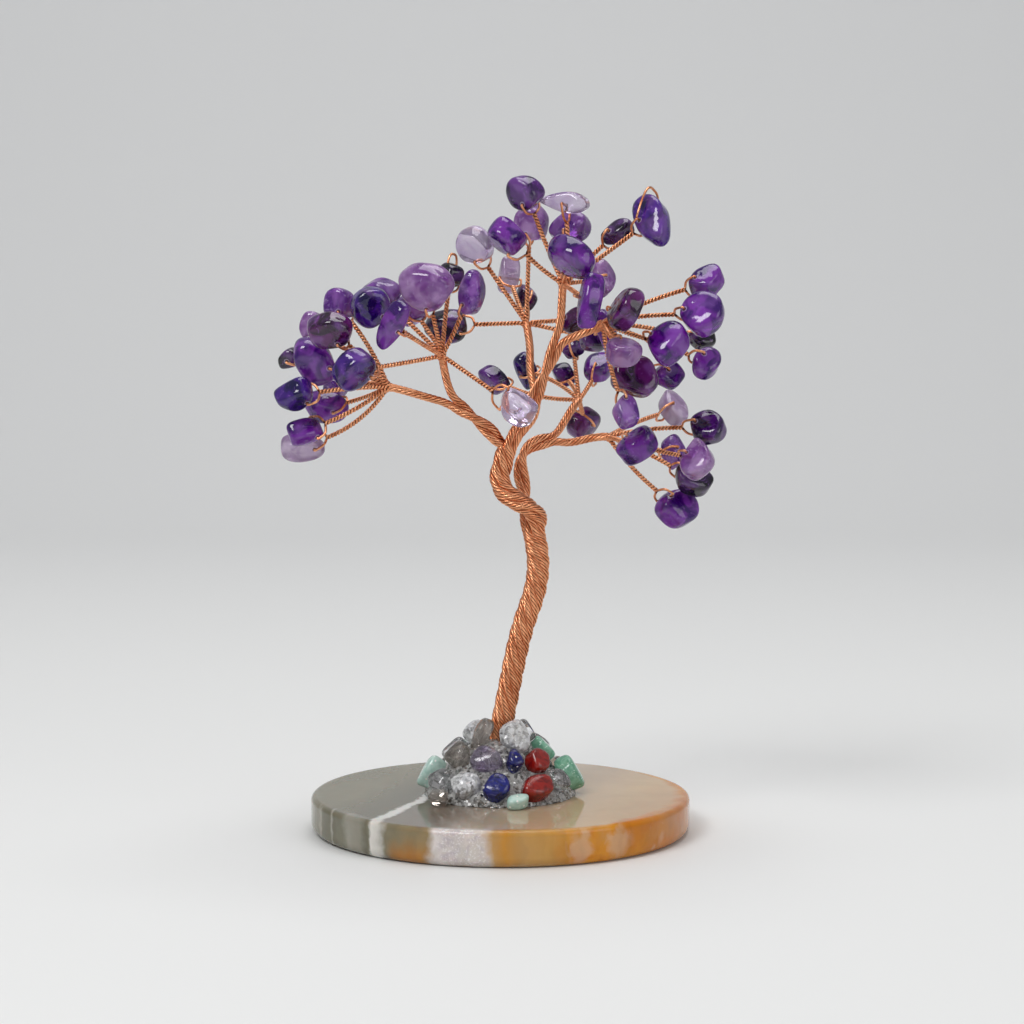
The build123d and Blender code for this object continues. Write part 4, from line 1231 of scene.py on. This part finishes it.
def strand_wires(points, sizes):
    """The outer wires of one strand, turning about its line the same way as the strands turn in the trunk.

    Each wire lies beside the strand's line at the distance where neighbours touch, half a thickness
    over the sine of half the angle between them, and its angle grows with the length run, one turn
    for each pitch.
    """
    length = run_lengths(points)[-1]
    line, along = smooth_line(points, np.linspace(0, 1, int(length / STATION_STEP)))
    right = unit(np.cross(along, OFF_STRAND))
    back = np.cross(right, along)
    run = run_lengths(line)
    pitch = sizes.bough_pitch / MILLIMETRE
    turn = 2 * np.pi * run / pitch
    thickness = sizes.strand_wire_diameter / MILLIMETRE
    away = thickness / 2 / np.sin(np.pi / sizes.strand_wires)
    angle = turn + np.arange(sizes.strand_wires)[:, None] * 2 * np.pi / sizes.strand_wires
    beside = right * np.cos(angle)[..., None] + back * np.sin(angle)[..., None]
    points, faces, ring = tube(line + beside * away, thickness / 2)
    return points, faces, wire_lay(along_of(ring, beside[:, :, None]), run)


def wire_lay(facing, run):
    """What a wire carries for its finish: how far it faces outwards, its length run and its number."""
    wires, stations, sides, _ = facing.shape
    run = np.broadcast_to(run, (wires, stations))[..., None, None] + 0 * facing
    number = np.arange(wires)[:, None, None, None] + 0 * facing
    return np.concatenate([facing, run, number], axis=-1).reshape(-1, 3)


class WIRETREE_OT_twigs(bpy.types.Operator):
    """Twists each twig's doubled wire and opens it round its chip"""

    bl_idname = "wiretree.twigs"
    bl_label = "Twigs and loops"

    def execute(self, context):
        sizes = context.scene.wire_tree_sizes
        copper = bpy.data.materials["copper_wire"]
        for name, hung in HUNG.items():
            shells = Shells()
            points, faces, lay = twig_wires(hung, STRANDS[name], sizes)
            shells.add(points, faces, lay=lay)
            slack = [row for row in SLACK_LOOPS if row.knot == name]
            if slack:
                points, faces, lay = slack_wires(hung, slack, sizes)
                shells.add(points, faces, lay=lay)
            shells.piece("twig_" + name, TREE_BODY, ["twigs_" + name], "copper", [copper])
        return {"FINISHED"}


def twig_middles(hung, strand, stations):
    """Middle lines of a knot's twigs: a bend out of the strand's end, then a circular arc to the crotch.

    The bend is a quadratic from inside the strand by way of the knot. The arc leaves the knot along
    the twig's own direction, so its centre lies square to that, and its angle is twice that between
    the direction and the chord.
    """
    knot = strand[-1]
    stem = unit(strand[-2] - knot)
    t = np.linspace(0, 1, stations // 5)[:, None]
    root = knot + stem * TWIG_ROOT + hung.leave[:, None] * TWIG_ROOT_SPREAD
    bend = root * (1 - t) ** 2 + knot * 2 * t * (1 - t) + hung.start[:, None] * t**2
    chord = hung.crotch - hung.start
    length = np.linalg.norm(chord, axis=-1, keepdims=True)
    ahead = along_of(chord, hung.leave) / length
    half = np.maximum(np.arccos(np.clip(ahead, -1, 1)), 1e-4)
    inward = chord / length - hung.leave * ahead
    inward = inward / np.maximum(np.linalg.norm(inward, axis=-1, keepdims=True), 1e-9)
    radius = length / 2 / np.sin(half)
    angle = np.linspace(0, 1, stations)[1:, None] * 2 * half[:, None]
    arc = hung.leave[:, None] * np.sin(angle) + inward[:, None] * (1 - np.cos(angle))
    return np.concatenate([bend, hung.start[:, None] + arc * radius[:, None]], axis=1)


def twig_wires(hung, strand, sizes, stations=190):
    """One wire for each twig: up the twist, out round the chip, through its hole, and back down.

    In the twist the two halves lie on opposite sides of the middle line, at an angle that grows with
    the length run, one turn for each pitch, and that ends square to the loop.
    """
    hung = hung._replace(crotch=hung.crotch + hung.outward * hung.half_loop * TWIST_SHARE)
    middle = twig_middles(hung, strand, stations)
    along = unit(np.gradient(middle, axis=1))
    right = untwisted(hung.drilled, along[:, ::-1])[:, ::-1]
    back = np.cross(along, right)
    run = run_lengths(middle)
    thickness = sizes.wire_diameter / MILLIMETRE
    angle = -2 * np.pi * (run - run[:, -1:]) / (sizes.twig_pitch / MILLIMETRE)
    side = (right * np.cos(angle)[..., None] + back * np.sin(angle)[..., None]) * thickness / 2
    corner = hung.hole - hung.outward * hung.bend * LEG_DEPTH_SHARE
    aside = hung.drilled * hung.half_loop

    def leg(way):
        mouth = hung.hole + aside * way
        return [
            hung.crotch + hung.drilled * way * thickness / 2,
            corner + aside * way * LEG_WIDTH_SHARE,
            mouth - hung.outward * TURN_BEFORE,
            mouth,
            mouth - hung.drilled * way * TURN_INSIDE,
        ]

    loop = cut_corners(np.stack(leg(1) + leg(-1)[::-1], axis=1))[:, 1:-1]
    wires = np.concatenate([middle + side, loop, (middle - side)[:, ::-1]], axis=1)
    points, faces, ring = tube(wires, thickness / 2, 6)
    out = unit(side)[:, :, None]
    open_air = np.ones((*loop.shape[:2], ring.shape[2], 1))
    first, last = ring[:, : middle.shape[1]], ring[:, -middle.shape[1] :]
    facing = [along_of(first, out), open_air, along_of(last, -out[:, ::-1])]
    return points, faces, wire_lay(np.concatenate(facing, axis=1), run_lengths(wires))


def slack_wires(hung, rows, sizes):
    """Wire left standing over a chip: out of one mouth of its hole, round beyond the chip and back.

    It follows half of a full ellipse, as wide as the mouths lie apart and as long as the chip reaches
    at any angle of its swing in the direction that the row's turn gives, with the row's clearance added.
    """
    chosen = [row.chip for row in rows]
    swing = np.radians([[CHIP_SHARES[row.knot][row.chip].swing] for row in rows])
    proud, width, turn = (np.array([[getattr(row, field)] for row in rows]) for field in Slack._fields[2:])
    hole, outward, drilled = hung.hole[chosen], hung.outward[chosen], hung.drilled[chosen]

    def towards(turn):
        return outward * np.cos(turn) + np.cross(drilled, outward) * np.sin(turn)

    turn = np.radians(turn)
    reaches = [along_of(hung.arms[chosen], towards(turn + swing * way)[:, None]) for way in (-1, 0, 1)]
    reach = np.max(np.concatenate(reaches, axis=1), axis=1) + proud
    angle = np.linspace(0, np.pi, SLACK_STATIONS)[:, None]
    across = np.sign(np.cos(angle)) * np.abs(np.cos(angle)) ** SLACK_POWER
    loop = hole[:, None] + (drilled * hung.half_loop[chosen] * width)[:, None] * across
    loop = loop + (towards(turn) * reach)[:, None] * np.sin(angle) ** SLACK_POWER
    points, faces, ring = tube(loop, sizes.wire_diameter / MILLIMETRE / 2, 6)
    return points, faces, wire_lay(np.ones((*ring.shape[:3], 1)), run_lengths(loop))


class WIRETREE_OT_chips(bpy.types.Operator):
    """Hangs the tumbled chips, those that swing each on its own body"""

    bl_idname = "wiretree.chips"
    bl_label = "Hung chips"

    def execute(self, context):
        depth = bpy.data.node_groups["stone_depth"]
        finishes = {
            "amethyst_clear": clear_stone("amethyst_clear", depth, paint(236, 226, 244), 0.5, 0.85),
            "amethyst_pale": clear_stone("amethyst_pale", depth, paint(216, 190, 234), 0.5, 0.5),
            "amethyst_deep": clear_stone("amethyst_deep", depth, paint(178, 118, 220), 0.3, 0.32),
        }
        order = list(finishes)
        for knot, (name, chips) in enumerate(CHIP_SHARES.items()):
            fixed = Shells()
            swinging = 0
            for number, chip in enumerate(chips):
                at = {field: rows[number] for field, rows in zip(Hung._fields, HUNG[name])}
                sizes = np.array([chip.long, chip.wide, chip.thick]) * CHIP_LENGTH
                sides = at["long_side"], at["wide_side"], at["drilled"]
                seed = KNOT_SEEDS * knot + number
                points, faces, local = tumbled_stone(at["middle"], sides, sizes, chip.outline, seed)
                arm = points - at["hole"]
                bore = arm - at["drilled"] * along_of(arm, at["drilled"])
                tone, finish_name = TONES[chip.tone]
                shells = Shells() if chip.swing else fixed
                carried = {"grain": local + seed * GRAIN_STEP, "bore": bore, "tone": tone}
                shells.add(points, faces, order.index(finish_name), **carried)
                if chip.swing:
                    swinging += 1
                    node = f"swivel_{name}_{swinging}"
                    shells.piece(f"swing_{name}_{swinging}", node, [node], "amethyst", finishes.values())
            fixed.piece("still_" + name, TREE_BODY, ["chips_" + name], "amethyst", finishes.values())
        return {"FINISHED"}


class WIRETREE_OT_stage(bpy.types.Operator):
    """Sets the floor, the backdrop, the lamps and the camera"""

    bl_idname = "wiretree.stage"
    bl_label = "Stage"

    def execute(self, context):
        scene = context.scene
        colours = scene.wire_tree_colours
        scene.view_settings.view_transform = "Standard"
        backdrop(colours)
        for name, row in LAMPS.items():
            lamp(name, *row)
        world = bpy.data.worlds.new("studio")
        scene.world = world
        world.use_nodes = True
        sky = world.node_tree.nodes["Background"].inputs
        sky["Color"].default_value = (*paint(236, 238, 240), 1.0)
        sky["Strength"].default_value = SKY_STRENGTH
        camera = bpy.data.objects.new("camera", bpy.data.cameras.new("camera"))
        camera.data.sensor_width = SENSOR_WIDTH
        camera.data.lens = SENSOR_WIDTH * FOCAL_PIXELS / FRAME_PIXELS
        camera.data.clip_start = 0.01
        camera.location = np.array(CAMERA_PLACE) * MILLIMETRE
        camera.rotation_euler = (np.radians(90 - CAMERA_DIP), 0, 0)
        scene.collection.objects.link(camera)
        scene.camera = camera
        return {"FINISHED"}


def lamp(name, place, side, power):
    """A square soft lamp aimed at the middle of the tree."""
    light = bpy.data.lights.new(name, "AREA")
    light.size = side
    light.energy = power
    obj = bpy.data.objects.new(name, light)
    towards = np.array(LAMP_TARGET) - place
    across, tall = np.arctan2(towards[0], -towards[1]), np.hypot(towards[0], towards[1])
    obj.location = place
    obj.rotation_euler = (np.arctan2(tall, -towards[2]), 0, across + np.pi)
    bpy.context.scene.collection.objects.link(obj)


def backdrop(colours):
    """A pale floor that turns up into a wall: a level run, a quarter circle and an upright run."""
    reach, near, bend, wide, tall = 0.45, -0.7, 0.35, 1.6, 1.2
    angle = np.linspace(0, np.pi / 2, 24)
    y = np.concatenate([[near], reach + bend * np.sin(angle), [reach + bend]])
    z = np.concatenate([[0.0], bend * (1 - np.cos(angle)), [tall]])
    edge = np.stack([0 * y, y, z], axis=-1)
    points = np.concatenate([edge - ACROSS * wide, edge + ACROSS * wide])
    index = np.arange(len(points)).reshape(2, -1)
    faces = np.stack([index[0, :-1], index[1, :-1], index[1, 1:], index[0, 1:]], axis=-1)
    mesh = bpy.data.meshes.new("backdrop")
    mesh.from_pydata(points, [], faces.tolist())
    mesh.shade_smooth()
    material, tree, shader = finish("backdrop", Roughness=0.6)
    place = add(tree, "TexCoord").outputs["Object"]
    away = add(tree, "SeparateXYZ", {"Vector": place}).outputs["Y"]
    turned_up = step_between(tree, away, 0.1, 0.75)
    tree.links.new(blended(tree, turned_up, colours.floor, colours.wall), shader["Base Color"])
    mesh.materials.append(material)
    obj = bpy.data.objects.new("backdrop", mesh)
    bpy.context.scene.collection.objects.link(obj)
    return obj


class WIRETREE_PT_panel(bpy.types.Panel):
    """Lists the steps and the values that they use"""

    bl_idname = "WIRETREE_PT_panel"
    bl_label = "Wire Tree"
    bl_space_type = "VIEW_3D"
    bl_region_type = "UI"
    bl_category = "Wire Tree"

    def draw(self, context):
        for group in (context.scene.wire_tree_sizes, context.scene.wire_tree_colours):
            for field in group.__annotations__:
                self.layout.prop(group, field)
        for step in STEPS:
            self.layout.operator(step.bl_idname)


STEPS = (
    WIRETREE_OT_slice,
    WIRETREE_OT_mound,
    WIRETREE_OT_boughs,
    WIRETREE_OT_twigs,
    WIRETREE_OT_chips,
    WIRETREE_OT_stage,
)
CLASSES = (WireTreeSizes, WireTreeColours, *STEPS, WIRETREE_PT_panel)


def register():
    for item in CLASSES:
        bpy.utils.register_class(item)
    bpy.types.Scene.wire_tree_sizes = PointerProperty(type=WireTreeSizes)
    bpy.types.Scene.wire_tree_colours = PointerProperty(type=WireTreeColours)


def unregister():
    del bpy.types.Scene.wire_tree_colours
    del bpy.types.Scene.wire_tree_sizes
    for item in reversed(CLASSES):
        bpy.utils.unregister_class(item)


def main():
    register()
    for step in STEPS:
        getattr(bpy.ops.wiretree, step.bl_idname.split(".")[1])()


if __name__ == "__main__":
    main()
